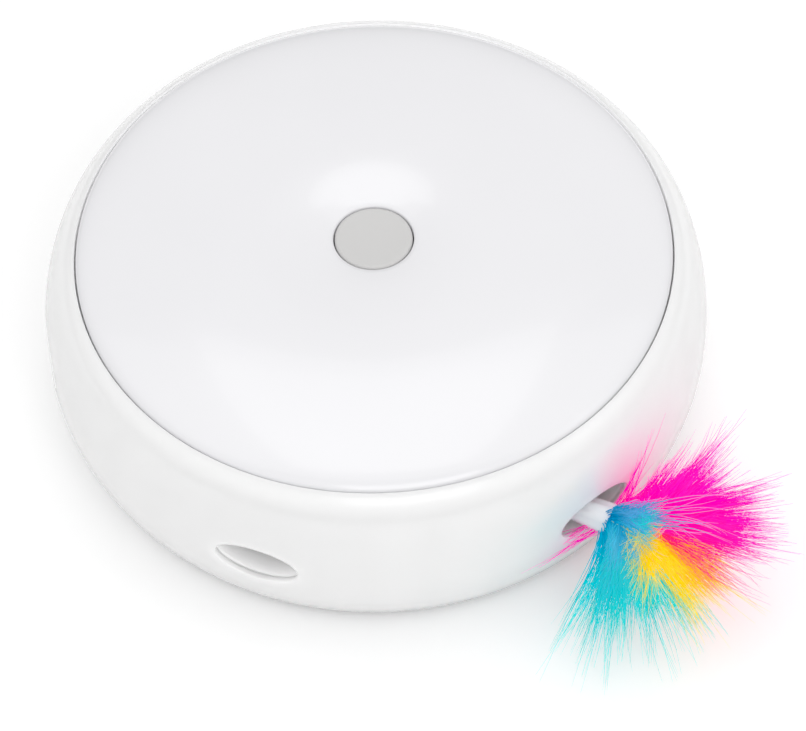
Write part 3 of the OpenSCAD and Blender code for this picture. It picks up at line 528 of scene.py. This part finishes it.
# Painted light: each tunnel's lip glows, and the glow fades to a weaker one deep inside, in place of
# light reaching into the tunnels. The wand's tunnel gets only a share of it, painted shade where the
# plumes shade it.
for port in range(port_count):
    glow_share = 1 if port else wand_port_glow_share
    rings = [drum_ring(1 - k / drum_rings, drum_r, tunnel_t) for k in range(drum_rings + 1)]
    tips = [tunnel_on(a, tunnel_t, lip) for a in drum_angles]
    rings.append([(p + q) / 2 for p, q in zip(rings[-1], tips)])
    rings.append(tips)
    painted_glows = [0.0] * len(rings)
    rings.append([tunnel_on(a, tunnel_t - tip_in, lambda z: lip(z) + tip_proud) for a in drum_angles])
    for k in range(1, lip_steps + 1):
        roll = math.pi / 2 * k / lip_steps
        inward = lip_round * (1 - math.cos(roll))
        rings.append([tunnel_on(a, lip_round * (1 - math.sin(roll)), lambda z: lip(z) - inward)
                      for a in drum_angles])
    inner = rings[-1]
    painted_glows += [0.0] + [lip_painted_glow * glow_share] * (len(rings) - len(painted_glows) - 1)
    deep = drum_ring(0, drum_in, 0)
    for t in deep_shares:
        rings.append([p.lerp(q, t) for p, q in zip(inner, deep)])
        painted_glows.append((lip_painted_glow + (deep_painted_glow - lip_painted_glow) * t) * glow_share)
    rings += [drum_ring(k / drum_rings, drum_in, 0) for k in range(drum_rings + 1)]
    painted_glows += [deep_painted_glow * glow_share] + [0.0] * drum_rings
    drum_skin.loft([[turned(p, port * sector) for p in ring] for ring in rings], painted_glows=painted_glows)
drum_skin.loft([wall_ring(drum_in, drum_low), wall_ring(drum_r, drum_low)])
drum_skin.loft([wall_ring(drum_r, drum_high), wall_ring(drum_in, drum_high)])
drum = drum_skin.finish("tunnel_drum")
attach(drum, "housing")
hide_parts("port_drum")
drum.data.materials.append(plastic("tunnel_white", (0.94, 0.935, 0.935), 0.45,
                                   grain=0.1, depth=4 * mm))

# Lid. A glossy pearl-white dome that rolls over at the seam and dips to the button in a wide
# shallow dimple. It is moulded in one with its skirt and the well round the button.
seam_gap = 0.45 * mm
lid_r = seam_r - seam_gap
lid_edge_z = 64.6 * mm
crest_r = 39 * mm
crest_z = 72.5 * mm
dimple_r = 104 * mm
well_r = 13.1 * mm
well_t = 2 * mm
well_low = 63.55 * mm
well_round = 0.5 * mm
well_edge = 0.15 * mm
roll_steps = 48
dimple_steps = 16
inner_dimple_steps = 6
inner_roll_steps = 13
lid_around = 240
dimple_centre = crest_z - dimple_r


def top_of(r):
    """Height of the dimple's surface at the radius r."""
    return dimple_centre + math.sqrt(dimple_r ** 2 - (crest_r - r) ** 2)


lid_profile = [(lid_r - wall, ledge_top), (lid_r, ledge_top)]
for k in range(roll_steps + 1):
    roll = math.pi / 2 * (k / roll_steps)
    lid_profile.append((crest_r + (lid_r - crest_r) * math.cos(roll),
                        lid_edge_z + (crest_z - lid_edge_z) * math.sin(roll)))
for k in range(1, dimple_steps + 1):
    r = crest_r + (well_r + well_round - crest_r) * k / dimple_steps
    lid_profile.append((r, top_of(r)))
lid_profile += [(well_r + well_edge, top_of(well_r) - well_edge),
                (well_r, top_of(well_r) - well_round), (well_r, well_low),
                (well_r + well_t, well_low), (well_r + well_t, top_of(well_r) - wall)]
for k in range(1, inner_dimple_steps + 1):
    r = well_r + well_t + (crest_r - well_r - well_t) * k / inner_dimple_steps
    lid_profile.append((r, top_of(r) - wall))
for k in range(1, inner_roll_steps):
    roll = math.pi / 2 * (1 - k / inner_roll_steps)
    lid_profile.append((crest_r + (lid_r - wall - crest_r) * math.cos(roll),
                        lid_edge_z - wall + (crest_z - lid_edge_z) * math.sin(roll)))


class Tree:
    """A geometry node tree with short ways to add and link its nodes."""

    def __init__(self, name, inputs, has_geometry=False):
        self.group = bpy.data.node_groups.new(name, "GeometryNodeTree")
        new_socket = self.group.interface.new_socket
        if has_geometry:
            new_socket("Geometry", in_out="INPUT", socket_type="NodeSocketGeometry")
        self.sockets = {label: new_socket(label, in_out="INPUT", socket_type=kind).identifier
                        for label, kind in inputs}
        new_socket("Geometry", in_out="OUTPUT", socket_type="NodeSocketGeometry")
        self.source = self.group.nodes.new("NodeGroupInput")

    def add(self, kind, values=(), **settings):
        node = self.group.nodes.new(kind)
        for key, value in settings.items():
            setattr(node, key, value)
        sockets = [s for s in node.inputs if s.enabled]
        for socket, value in zip(sockets, values):
            self.feed(socket, value)
        return node

    def feed(self, socket, value):
        if value is None:
            return
        if isinstance(value, bpy.types.NodeSocket):
            self.group.links.new(value, socket)
        elif isinstance(value, bpy.types.Node):
            self.group.links.new(next(s for s in value.outputs if s.enabled), socket)
        else:
            socket.default_value = value

    def given(self, label):
        return self.source.outputs[label]

    def finish(self, last):
        output = self.group.nodes.new("NodeGroupOutput")
        self.group.links.new(last.outputs[0], output.inputs[0])

    def math(self, operation, a, b=None, c=None):
        return self.add("ShaderNodeMath", (a, b, c), operation=operation)

    def times(self, a, b):
        return self.math("MULTIPLY", a, b)

    def vector(self, operation, a, b):
        return self.add("ShaderNodeVectorMath", (a, b), operation=operation)

    def scaled(self, vector, factor):
        node = self.add("ShaderNodeVectorMath", (vector,), operation="SCALE")
        self.feed(node.inputs["Scale"], factor)
        return node

    def total(self, *vectors):
        made = vectors[0]
        for v in vectors[1:]:
            made = self.vector("ADD", made, v)
        return made

    def mix(self, a, b, factor):
        return self.math("MULTIPLY_ADD", self.math("SUBTRACT", b, a), factor, a)

    def random(self, salt, which, low=0.0, high=1.0):
        seed = self.math("ADD", self.given("Seed"), salt)
        return self.add("FunctionNodeRandomValue", (low, high, which, seed), data_type="FLOAT")

    def jitter(self, salt, which):
        seed = self.math("ADD", self.given("Seed"), salt)
        return self.add("FunctionNodeRandomValue", ((-1, -1, -1), (1, 1, 1), which, seed),
                        data_type="FLOAT_VECTOR")


def evaluated(holder, tree, values):
    """The plain mesh that a tree makes of an object, with the tree's inputs set."""
    bpy.context.scene.collection.objects.link(holder)
    modifier = holder.modifiers.new("shape", "NODES")
    modifier.node_group = tree.group
    for label, value in values.items():
        modifier[tree.sockets[label]] = value
    result = holder.evaluated_get(bpy.context.evaluated_depsgraph_get())
    shape = bpy.data.meshes.new_from_object(result)
    holder.modifiers.remove(modifier)
    bpy.data.objects.remove(holder)
    return shape


def turning_tree():
    """Turns a closed profile, drawn as radius and height, round the toy's axis."""
    tree = Tree("turned_profile", [("Core Radius", "NodeSocketFloat"), ("Segments", "NodeSocketInt"),
                                   ("Material", "NodeSocketMaterial")], has_geometry=True)
    profile = tree.add("GeometryNodeMeshToCurve", (tree.given("Geometry"),))
    path = tree.add("GeometryNodeCurvePrimitiveCircle",
                    (tree.given("Segments"), tree.given("Core Radius")))
    solid = tree.add("GeometryNodeCurveToMesh", (path, profile))
    real = tree.add("GeometryNodeRealizeInstances", (solid,))
    tree.finish(tree.add("GeometryNodeSetMaterial", (real, None, tree.given("Material"))))
    return tree


pearl = plastic("pearl_white", (0.815, 0.812, 0.832), 0.2, coat=0.5)
count = len(lid_profile)
drawn = bpy.data.meshes.new("lid_profile")
drawn.from_pydata([(r - well_r, -z, 0) for r, z in lid_profile],
                  [(k, (k + 1) % count) for k in range(count)], [])
lid_skin = Skin()
lid_skin.mesh.from_mesh(evaluated(bpy.data.objects.new("lid_profile", drawn), turning_tree(),
                                  {"Core Radius": well_r, "Segments": lid_around, "Material": pearl}))
lid = lid_skin.finish("lid_cover")
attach(lid, "housing")
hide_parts("lid_dome")
lid.data.materials.append(pearl)

# Button. A fine-grained grey cap with a shallow hollow, in a narrow dark gap at the bottom of
# the lid's dimple. A flange under the lid keeps it in.
button_r = 12.7 * mm
button_top = top_of(well_r)
button_low = 61.95 * mm
dish_depth = 0.5 * mm
dish_margin = 1.2 * mm
dish_steps = 12
button_round = 0.9 * mm
round_steps = 6
round_from = 80
flange_r = 14.6 * mm
flange_top = 63.35 * mm
button_in_r = 11 * mm
button_in_top = 67.2 * mm
stem_r = 2.4 * mm
stem_low = 62.95 * mm
button_around = 96
button_sharp = 30
profile = [(0.0, button_top - dish_depth)]
for k in range(1, dish_steps + 1):
    r = (button_r - dish_margin) * k / dish_steps
    profile.append((r, button_top - dish_depth * (1 - (k / dish_steps) ** 2)))
for k in range(round_steps + 1):
    roll = math.radians(round_from - round_from * k / round_steps)
    profile.append((button_r - button_round + button_round * math.cos(roll),
                    button_top - button_round + button_round * math.sin(roll)))
profile += [(button_r, flange_top), (flange_r, flange_top), (flange_r, button_low),
            (button_in_r, button_low), (button_in_r, button_in_top), (stem_r, button_in_top),
            (stem_r, stem_low), (0.0, stem_low)]
button_skin = Skin()
button_skin.loft([round_ring(r, z, button_around) for r, z in profile])
button = button_skin.finish("push_button", button_sharp)
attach(button, "button")
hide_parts("button_cap")
button.data.materials.append(plastic("grained_grey", (0.6, 0.595, 0.59), 0.5,
                                     grain=0.6, grain_size=0.25))

# Wand. A white tube with shallow flutes that widens to its mouth. It is pushed into the
# carriage's socket, and its front stands slantwise out of one port.
wand_yaw = math.radians(24)
wand_mouth = 105.7 * mm
wand_y = -45.5 * mm
wand_r = 4.4 * mm
wand_mouth_r = 5.35 * mm
wand_wall = 0.9 * mm
mouth_bevel = 0.25 * mm
mouth_edge = 0.2 * mm
flare_l = 18 * mm
socket_front = 72 * mm
socket_depth = 16 * mm
socket_slack = 0.5 * mm
fit_r = wand_r - 0.1 * mm
fit_wall = 1.1 * mm
collar_r = wand_r + 1 * mm
collar_low = 0.2 * mm
collar_high = 2.2 * mm
flute_start = 5 * mm
flute_count = 8
flute_depth = 0.35 * mm
flute_steps = 12
flare_steps = 8
bore_r = wand_r - 1.2 * mm
bore_depth = 8 * mm
wand_sharp = 50


def from_wand(x, y, z):
    """A point given along the wand from the turntable's cross line, and beside and above it."""
    return turned((x, wand_y + y, port_z + z), wand_yaw)


def fluted_ring(x, r, depth):
    """Ring across the wand, with flutes of the given depth."""
    count = flute_count * flute_steps
    ring = []
    for k in range(count):
        a = 2 * math.pi * k / count
        dip = depth * abs(math.sin(flute_count * a / 2)) ** 3
        ring.append(from_wand(x, (r - dip) * math.cos(a), (r - dip) * math.sin(a)))
    return ring


flare_start = wand_mouth - flare_l
wand_end = socket_front - socket_depth + socket_slack
wand_rings = [(wand_end, fit_r - fit_wall, 0), (wand_end, fit_r, 0),
              (socket_front + collar_low, fit_r, 0), (socket_front + collar_low, collar_r, 0),
              (socket_front + collar_high, collar_r, 0),
              (socket_front + collar_high, wand_r, flute_depth / 2),
              (socket_front + flute_start, wand_r, flute_depth)]
for k in range(flare_steps):
    t = k / flare_steps
    grow = t * t * (3 - 2 * t)
    wand_rings.append((flare_start + flare_l * t, wand_r + (wand_mouth_r - wand_r) * grow, flute_depth))
wand_rings += [(wand_mouth - mouth_bevel, wand_mouth_r, flute_depth),
               (wand_mouth, wand_mouth_r - mouth_edge, flute_depth),
               (wand_mouth - mouth_edge, wand_mouth_r - wand_wall, 0),
               (flare_start, bore_r, 0), (flare_start - bore_depth, bore_r, 0)]
wand_skin = Skin()
made = wand_skin.loft([fluted_ring(*r) for r in wand_rings])
wand_skin.mesh.faces.new(made[-1])
wand_skin.mesh.faces.new(list(reversed(made[0])))
wand = wand_skin.finish("fluted_wand", wand_sharp)
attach(wand, "refill")
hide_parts("wand_tube")
wand.data.materials.append(plastic("wand_white_tube", (0.8, 0.81, 0.84), 0.3, coat=0.2))

# Plumes. Dyed down feathers whose quills are held in the wand's mouth. Their soft barbs lie in
# locks that start close together and spread out into fine tips, a few of them loose and curled.
plume_right = Vector((0.884, 0.468, 0))
plume_up = Vector((-0.365, 0.689, 0.627))
plume_front = Vector((0.293, -0.554, 0.779))
sector_count = 8
floor_clear = 0.9 * mm
root_spread = 2.4 * mm
root_squeeze = (0.3, 1, 1)
root_scatter = 0.8 * mm
root_ends = (-2.5 * mm, 1.5 * mm)
barb_lengths = (0.62, 1.06)
tip_scatter = 0.45
bend_place = (0.26, 0.4)
bend_scatter = 0.35
bend_of_locks = 0.9
run_on_shares = (0.6, 1.2)
shade_drift = 0.1
wave_turn = 5.0
swing_turn = 4.2
barb_sides = 3
barb_narrowing = 0.85
narrowing_power = 1.4
phase_most = 6.3
seed_step = 100


def plume_tree():
    """One group of locks, of which it keeps the barbs that point into one sector round the wand."""
    tree = Tree("plume_locks", [
        ("Locks", "NodeSocketInt"), ("Barbs per Lock", "NodeSocketInt"), ("Seed", "NodeSocketInt"),
        ("Angle Low", "NodeSocketFloat"), ("Angle High", "NodeSocketFloat"),
        ("Length Low", "NodeSocketFloat"), ("Length High", "NodeSocketFloat"),
        ("Front Low", "NodeSocketFloat"), ("Front High", "NodeSocketFloat"),
        ("Run On", "NodeSocketFloat"), ("Spread", "NodeSocketFloat"), ("Curl", "NodeSocketFloat"),
        ("Thickness", "NodeSocketFloat"), ("Sweep", "NodeSocketVector"),
        ("Shade Low", "NodeSocketFloat"), ("Shade High", "NodeSocketFloat"),
        ("Points", "NodeSocketInt"), ("Sector", "NodeSocketInt"), ("Material", "NodeSocketMaterial")])
    given = tree.given
    index = tree.add("GeometryNodeInputIndex")
    lock = tree.math("FLOOR", tree.math("DIVIDE", index, given("Barbs per Lock")))
    points = tree.add("GeometryNodePoints", (tree.times(given("Locks"), given("Barbs per Lock")),))

    # The tip of each barb, in the frame of the three plume directions
    fan = tree.random(1, lock)
    angle = tree.math("RADIANS", tree.mix(given("Angle Low"), given("Angle High"), fan))
    length = tree.mix(given("Length Low"), given("Length High"), tree.random(2, lock))
    front = tree.mix(given("Front Low"), given("Front High"), tree.random(3, lock))
    flat = tree.total(tree.scaled(tuple(plume_right), tree.math("COSINE", angle)),
                      tree.scaled(tuple(plume_up), tree.math("SINE", angle)))
    reach = tree.total(tree.scaled(flat, length), tree.scaled(tuple(plume_front), front))
    spread = given("Spread")
    tip = tree.total(tree.scaled(reach, tree.random(4, index, *barb_lengths)),
                     tree.scaled(tree.jitter(5, index), tree.times(spread, tip_scatter)),
                     tree.scaled(tree.jitter(6, lock), spread))

    # Its root in the wand's mouth, and the point that bends it on the way
    squeezed = tree.vector("MULTIPLY", tree.jitter(7, lock), root_squeeze)
    root = tree.total(tree.scaled(squeezed, root_spread),
                      tree.scaled(tree.jitter(8, index), root_scatter),
                      tree.scaled((1, 0, 0), tree.random(9, index, *root_ends)))
    run_on = tree.times(given("Run On"), tree.random(10, lock, *run_on_shares))
    middle = tree.total(root, tree.scaled((1, 0, 0), run_on),
                        tree.scaled(tip, tree.random(11, index, *bend_place)),
                        tree.scaled(tree.jitter(12, index), tree.times(spread, bend_scatter)),
                        tree.scaled(tree.jitter(15, lock), tree.times(spread, bend_of_locks)),
                        given("Sweep"))
    shade = tree.math("ADD", tree.mix(given("Shade Low"), given("Shade High"), fan),
                      tree.random(16, lock, -shade_drift, shade_drift))

    # Barbs that point into another sector are dropped
    parts = tree.add("ShaderNodeSeparateXYZ", (tip,))
    round_wand = tree.math("ARCTAN2", parts.outputs["Z"], parts.outputs["Y"])
    sectors = tree.times(round_wand, sector_count / (2 * math.pi))
    nearest = tree.math("FLOOR", tree.math("ADD", sectors, sector_count + 0.5))
    other = tree.add("FunctionNodeCompare", (tree.math("MODULO", nearest, sector_count), given("Sector")),
                     data_type="FLOAT", operation="NOT_EQUAL")
    other.inputs["Epsilon"].default_value = 0.1
    stored = (("root", root, "FLOAT_VECTOR"), ("middle", middle, "FLOAT_VECTOR"),
              ("tip", tip, "FLOAT_VECTOR"), ("shade", shade, "FLOAT"),
              ("tone", tree.random(13, index), "FLOAT"),
              ("phase", tree.random(14, index, 0, phase_most), "FLOAT"), ("drop", other, "FLOAT"))
    store = points
    for name, value, kind in stored:
        store = tree.add("GeometryNodeStoreNamedAttribute", (store, None, name, value),
                         data_type=kind, domain="POINT")

    def named(name, kind="FLOAT"):
        return tree.add("GeometryNodeInputNamedAttribute", (name,), data_type=kind).outputs[0]

    kept = tree.add("GeometryNodeDeleteGeometry", (store, named("drop")), domain="POINT")
    line = tree.add("GeometryNodeCurvePrimitiveLine", ((0, 0, 0), (0, 0, 1)))
    strand = tree.add("GeometryNodeResampleCurve", (line, None, given("Points")))
    placed = tree.add("GeometryNodeInstanceOnPoints", (kept, None, strand))
    straight = tree.add("GeometryNodeRealizeInstances", (placed,))

    # Each barb runs from root over middle to tip, and its free end curls
    along = tree.add("GeometryNodeSplineParameter").outputs["Factor"]
    rest = tree.math("SUBTRACT", 1, along)
    curl = tree.times(given("Curl"), along)
    wave = tree.math("SINE", tree.math("MULTIPLY_ADD", along, wave_turn, named("phase")))
    swing = tree.math("COSINE", tree.math("MULTIPLY_ADD", along, swing_turn, named("phase")))
    place = tree.total(
        tree.scaled(named("root", "FLOAT_VECTOR"), tree.times(rest, rest)),
        tree.scaled(named("middle", "FLOAT_VECTOR"), tree.times(tree.times(rest, along), 2)),
        tree.scaled(named("tip", "FLOAT_VECTOR"), tree.times(along, along)),
        tree.scaled(tuple(plume_up), tree.times(curl, wave)),
        tree.scaled(tuple(plume_right), tree.times(curl, swing)))
    split = tree.add("ShaderNodeSeparateXYZ", (tree.vector("ADD", place, (wand_mouth, wand_y, port_z)),))
    lifted = tree.math("MAXIMUM", split.outputs["Z"], floor_clear)
    seat = tree.add("ShaderNodeCombineXYZ", (split.outputs["X"], split.outputs["Y"], lifted))
    bent = tree.add("GeometryNodeSetPosition", (straight, None, seat))
    marked = tree.add("GeometryNodeStoreNamedAttribute", (bent, None, "along", along),
                      data_type="FLOAT", domain="POINT")
    profile = tree.add("GeometryNodeCurvePrimitiveCircle", (barb_sides, 1.0))
    narrowing = tree.math("MULTIPLY_ADD", tree.math("POWER", along, narrowing_power), -barb_narrowing, 1)
    barbs = tree.add("GeometryNodeCurveToMesh",
                     (marked, profile, tree.times(given("Thickness"), narrowing), True))
    turned_out = tree.add("GeometryNodeTransform", (barbs, None, (0, 0, wand_yaw)))
    real = tree.add("GeometryNodeRealizeInstances", (turned_out,))
    tree.finish(tree.add("GeometryNodeSetMaterial", (real, None, given("Material"))))
    return tree


# Painted light: the down glows in its own colours at this strength.
down_painted_glow = 0.45
down_roughness = 0.75
tone_ends = (0.8, 1.1)


def plume_paint(name, stops, side_stops):
    """Dyed down with a painted glow in its own colours, which stands in for light through the barbs. Its
    two colour runs go from the root to the tip.
    """
    material, nodes, links = new_material(name)
    shader = nodes["Principled BSDF"]
    shader.inputs["Roughness"].default_value = down_roughness
    shader.inputs["Specular IOR Level"].default_value = 0.0
    shader.inputs["Emission Strength"].default_value = down_painted_glow

    def read(attribute):
        node = nodes.new("ShaderNodeAttribute")
        node.attribute_name = attribute
        return node.outputs["Fac"]

    def run(colours):
        ramp = nodes.new("ShaderNodeValToRGB")
        while len(ramp.color_ramp.elements) < len(colours):
            ramp.color_ramp.elements.new(0.5)
        for element, (position, colour) in zip(ramp.color_ramp.elements, colours):
            element.position = position
            element.color = (*colour, 1)
        links.new(read("along"), ramp.inputs["Fac"])
        return ramp.outputs["Color"]

    mix = nodes.new("ShaderNodeMix")
    mix.data_type = "RGBA"
    links.new(read("shade"), mix.inputs["Factor"])
    links.new(run(stops), mix.inputs["A"])
    links.new(run(side_stops), mix.inputs["B"])
    tone = nodes.new("ShaderNodeMapRange")
    tone.inputs["To Min"].default_value = tone_ends[0]
    tone.inputs["To Max"].default_value = tone_ends[1]
    links.new(read("tone"), tone.inputs["Value"])
    vary = nodes.new("ShaderNodeHueSaturation")
    links.new(tone.outputs["Result"], vary.inputs["Value"])
    links.new(mix.outputs["Result"], vary.inputs["Color"])
    links.new(vary.outputs["Color"], shader.inputs["Base Color"])
    links.new(vary.outputs["Color"], shader.inputs["Emission Color"])
    return material


# Most colour runs darken towards the root: painted shade where the barbs crowd into the wand's mouth.
plume_paints = {
    "magenta": plume_paint(
        "magenta_down",
        [(0.0, (0.6, 0.0, 0.26)), (0.25, (0.92, 0.0, 0.42)), (0.8, (0.98, 0.0, 0.47)),
         (1.0, (0.98, 0.03, 0.55))],
        [(0.0, (0.95, 0.3, 0.0)), (0.35, (0.95, 0.06, 0.02)), (0.7, (0.96, 0.01, 0.12)),
         (1.0, (0.98, 0.02, 0.3))]),
    "blue": plume_paint(
        "blue_down",
        [(0.0, (0.0, 0.22, 0.44)), (0.25, (0.0, 0.42, 0.58)), (0.7, (0.0, 0.6, 0.62)),
         (1.0, (0.02, 0.62, 0.56))],
        [(0.0, (0.0, 0.13, 0.36)), (0.4, (0.0, 0.28, 0.52)), (1.0, (0.14, 0.4, 0.68))]),
    "yellow": plume_paint(
        "yellow_down",
        [(0.0, (0.4, 0.42, 0.0)), (0.4, (0.62, 0.56, 0.0)), (0.8, (0.9, 0.64, 0.0)),
         (1.0, (0.96, 0.7, 0.08))],
        [(0.0, (0.8, 0.3, 0.0)), (0.5, (0.97, 0.4, 0.0)), (1.0, (0.98, 0.5, 0.04))]),
}

# A group of locks: their number, the barbs in each, their fan of angles in degrees, then in
# millimetres the length, reach to the front, straight start, spread, curl, thickness of a barb
# and sweep to the right, up and front, then the shade, points along a barb and seed.
plume_groups = {
    "magenta": [
        (60, 14, (14, 34), (24, 42), (-12, 8), 5, 2.4, 0.7, 0.18, (4, -3, 0), (0, 0), 9, 3),
        (40, 4, (8, 37), (36, 53), (-10, 4), 5, 2.6, 1.2, 0.17, (5, -4, 0), (0, 0), 9, 21),
        (84, 14, (-15, 9), (36, 49), (-8, 9), 6, 2.4, 0.7, 0.18, (2, 2, 0), (0.25, 0), 9, 4),
        (70, 6, (-19, 12), (44, 58), (-6, 6), 6, 2.6, 1.1, 0.19, (2, 2, 0), (0.1, 0), 9, 22),
        (30, 12, (4, 20), (24, 40), (-10, 8), 6, 2.2, 0.7, 0.18, (3, 0, 0), (0, 0), 9, 5),
        (80, 14, (-18, 40), (14, 32), (-8, 11), 6, 2.4, 0.6, 0.2, (2, 0, 0), (0.2, 0), 9, 6),
        (14, 4, (38, 64), (22, 46), (-10, 2), 3, 2.0, 1.2, 0.13, (1, 0, 0), (0, 0), 9, 7),
        (50, 4, (-38, -14), (30, 55), (4, 12), 7, 2.6, 1.2, 0.16, (5, 2, 2), (1.0, 0.4), 9, 8),
        (12, 6, (30, 72), (12, 24), (-8, 0), 4, 2.0, 1.0, 0.1, (2, 0, 0), (0, 0), 9, 9),
        (6, 4, (-170, -150), (22, 38), (-6, -1), 2, 1.6, 1.2, 0.12, (-1, -1, 0), (0, 0), 9, 10)],
    "blue": [
        (96, 14, (-100, 26), (8, 16), (8, 15), 4, 2.0, 0.6, 0.18, (0, 3, 5), (0.6, 1.0), 9, 11),
        (74, 16, (-104, -62), (18, 36), (0, 13), 5, 2.4, 0.9, 0.18, (0, 0, 4), (0.2, 0), 9, 12),
        (50, 16, (-108, -52), (12, 26), (5, 14), 6, 2.2, 0.8, 0.19, (0, 0, 4), (0.5, 0.1), 9, 13),
        (90, 5, (-118, -46), (31, 54), (-2, 10), 5, 2.6, 1.5, 0.17, (0, 0, 3), (0, 0), 9, 23),
        (12, 2, (-14, 14), (26, 44), (14, 20), 6, 2.2, 1.4, 0.16, (4, 4, 5), (0.9, 0.9), 9, 14),
        (30, 4, (-62, -45), (34, 50), (0, 8), 6, 2.4, 1.2, 0.17, (0, 0, 2), (0, 0), 9, 15),
        (26, 8, (-30, 12), (9, 18), (12, 17), 5, 2.2, 2.4, 0.16, (0, 0, 4), (0.3, 0), 12, 16)],
    "yellow": [
        (70, 13, (-54, -34), (26, 44), (-1, 10), 6, 2.4, 0.9, 0.18, (3, 0, 2), (0, 0.6), 9, 17),
        (70, 12, (-76, -30), (9, 29), (8, 17), 7, 2.4, 1.0, 0.18, (4, -1, 4), (0, 0.3), 9, 18),
        (44, 3, (-60, -30), (38, 54), (0, 8), 6, 2.6, 1.3, 0.16, (3, 0, 1), (0, 0.6), 9, 20),
        (56, 14, (-38, -21), (24, 43), (-1, 9), 5, 2.4, 0.7, 0.18, (3, 1, 0), (1.0, 0.7), 9, 24),
        (14, 3, (-80, -35), (10, 24), (16, 21), 8, 3.0, 3.2, 0.17, (5, 0, 5), (0, 0), 16, 19)],
}


def lock_values(group, paint, sector_index):
    """The tree's inputs for one group of locks in one sector."""
    locks, barbs, angle, length, front, run_on, spread, curl, thick, sweep, shade, points, seed = group
    side, rise, out = sweep
    return {
        "Locks": locks, "Barbs per Lock": barbs, "Seed": seed * seed_step,
        "Angle Low": float(angle[0]), "Angle High": float(angle[1]),
        "Length Low": length[0] * mm, "Length High": length[1] * mm,
        "Front Low": front[0] * mm, "Front High": front[1] * mm,
        "Run On": run_on * mm, "Spread": spread * mm, "Curl": curl * mm, "Thickness": thick * mm,
        "Sweep": (plume_right * side + plume_up * rise + plume_front * out) * mm,
        "Shade Low": float(shade[0]), "Shade High": float(shade[1]),
        "Points": points, "Sector": sector_index, "Material": paint}


tree = plume_tree()
for colour, groups in plume_groups.items():
    for sector_index in range(sector_count):
        parts = []
        for group in groups:
            values = lock_values(group, plume_paints[colour], sector_index)
            holder = bpy.data.objects.new("holder", bpy.data.meshes.new("holder"))
            shape = evaluated(holder, tree, values)
            if len(shape.polygons):
                part = bpy.data.objects.new("part", shape)
                bpy.context.scene.collection.objects.link(part)
                parts.append(part)
        if not parts:
            continue
        plume = parts[0]
        plume.name = f"plume_{colour}_{sector_index + 1}"
        if len(parts) > 1:
            with bpy.context.temp_override(active_object=plume, selected_editable_objects=parts):
                bpy.ops.object.join()
        direction = sector_index * 2 * math.pi / sector_count
        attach(plume, "refill")
        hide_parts(f"feather_{colour}")
        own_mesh(plume)

# Small parts that keep their solids: what carries, drives and feeds the wand inside the
# housing, and the base, its door and its screws, which show from below.
finishes = {
    "tray_white": plastic("tray_plastic", (0.8, 0.8, 0.81), 0.4, grain=0.25),
    "foot_rubber": plastic("foot_rubber_grey", (0.06, 0.06, 0.063), 0.75, grain=0.4),
    "gear_white": plastic("gear_plastic", (0.78, 0.78, 0.75), 0.35),
    "cell_wrap": plastic("cell_sleeve", (0.05, 0.25, 0.12), 0.3),
    "board_green": plastic("board_lacquer", (0.02, 0.12, 0.05), 0.3),
    "dark_plastic": plastic("dark_plastic_case", (0.03, 0.03, 0.032), 0.4),
    "lead_sleeve": plastic("lead_rubber", (0.04, 0.04, 0.045), 0.5),
    "turntable_white": plastic("turntable_plastic", (0.74, 0.74, 0.75), 0.35),
    "carriage_grey": plastic("carriage_plastic", (0.4, 0.4, 0.42), 0.4),
    "plug_cream": plastic("plug_plastic", (0.7, 0.66, 0.55), 0.5),
}

marks_scale = 900
marks_ends = (0.7, 1.3)


def bright_metal(name, colour, roughness):
    """Plated metal with fine rolling marks that change its gloss."""
    material, nodes, links = new_material(name)
    shader = nodes["Principled BSDF"]
    shader.inputs["Metallic"].default_value = 1
    shader.inputs["Base Color"].default_value = (*colour, 1)
    place = nodes.new("ShaderNodeTexCoord")
    marks = nodes.new("ShaderNodeTexNoise")
    marks.inputs["Scale"].default_value = marks_scale
    links.new(place.outputs["Object"], marks.inputs["Vector"])
    spread = nodes.new("ShaderNodeMapRange")
    spread.inputs["To Min"].default_value = roughness * marks_ends[0]
    spread.inputs["To Max"].default_value = roughness * marks_ends[1]
    links.new(marks.outputs["Fac"], spread.inputs["Value"])
    links.new(spread.outputs["Result"], shader.inputs["Roughness"])
    return material


finishes["steel"] = bright_metal("plated_steel", (0.6, 0.6, 0.61), 0.3)
finishes["gold_plate"] = bright_metal("gold_plate_bright", (0.8, 0.6, 0.25), 0.25)
for part in frame["record"]["subparts"]:
    finish = finishes.get(part["material_slot"])
    if finish:
        mesh = frame["nodes"][part["node"]].data
        mesh.materials.clear()
        mesh.materials.append(finish)

bpy.context.scene.view_settings.view_transform = "Standard"
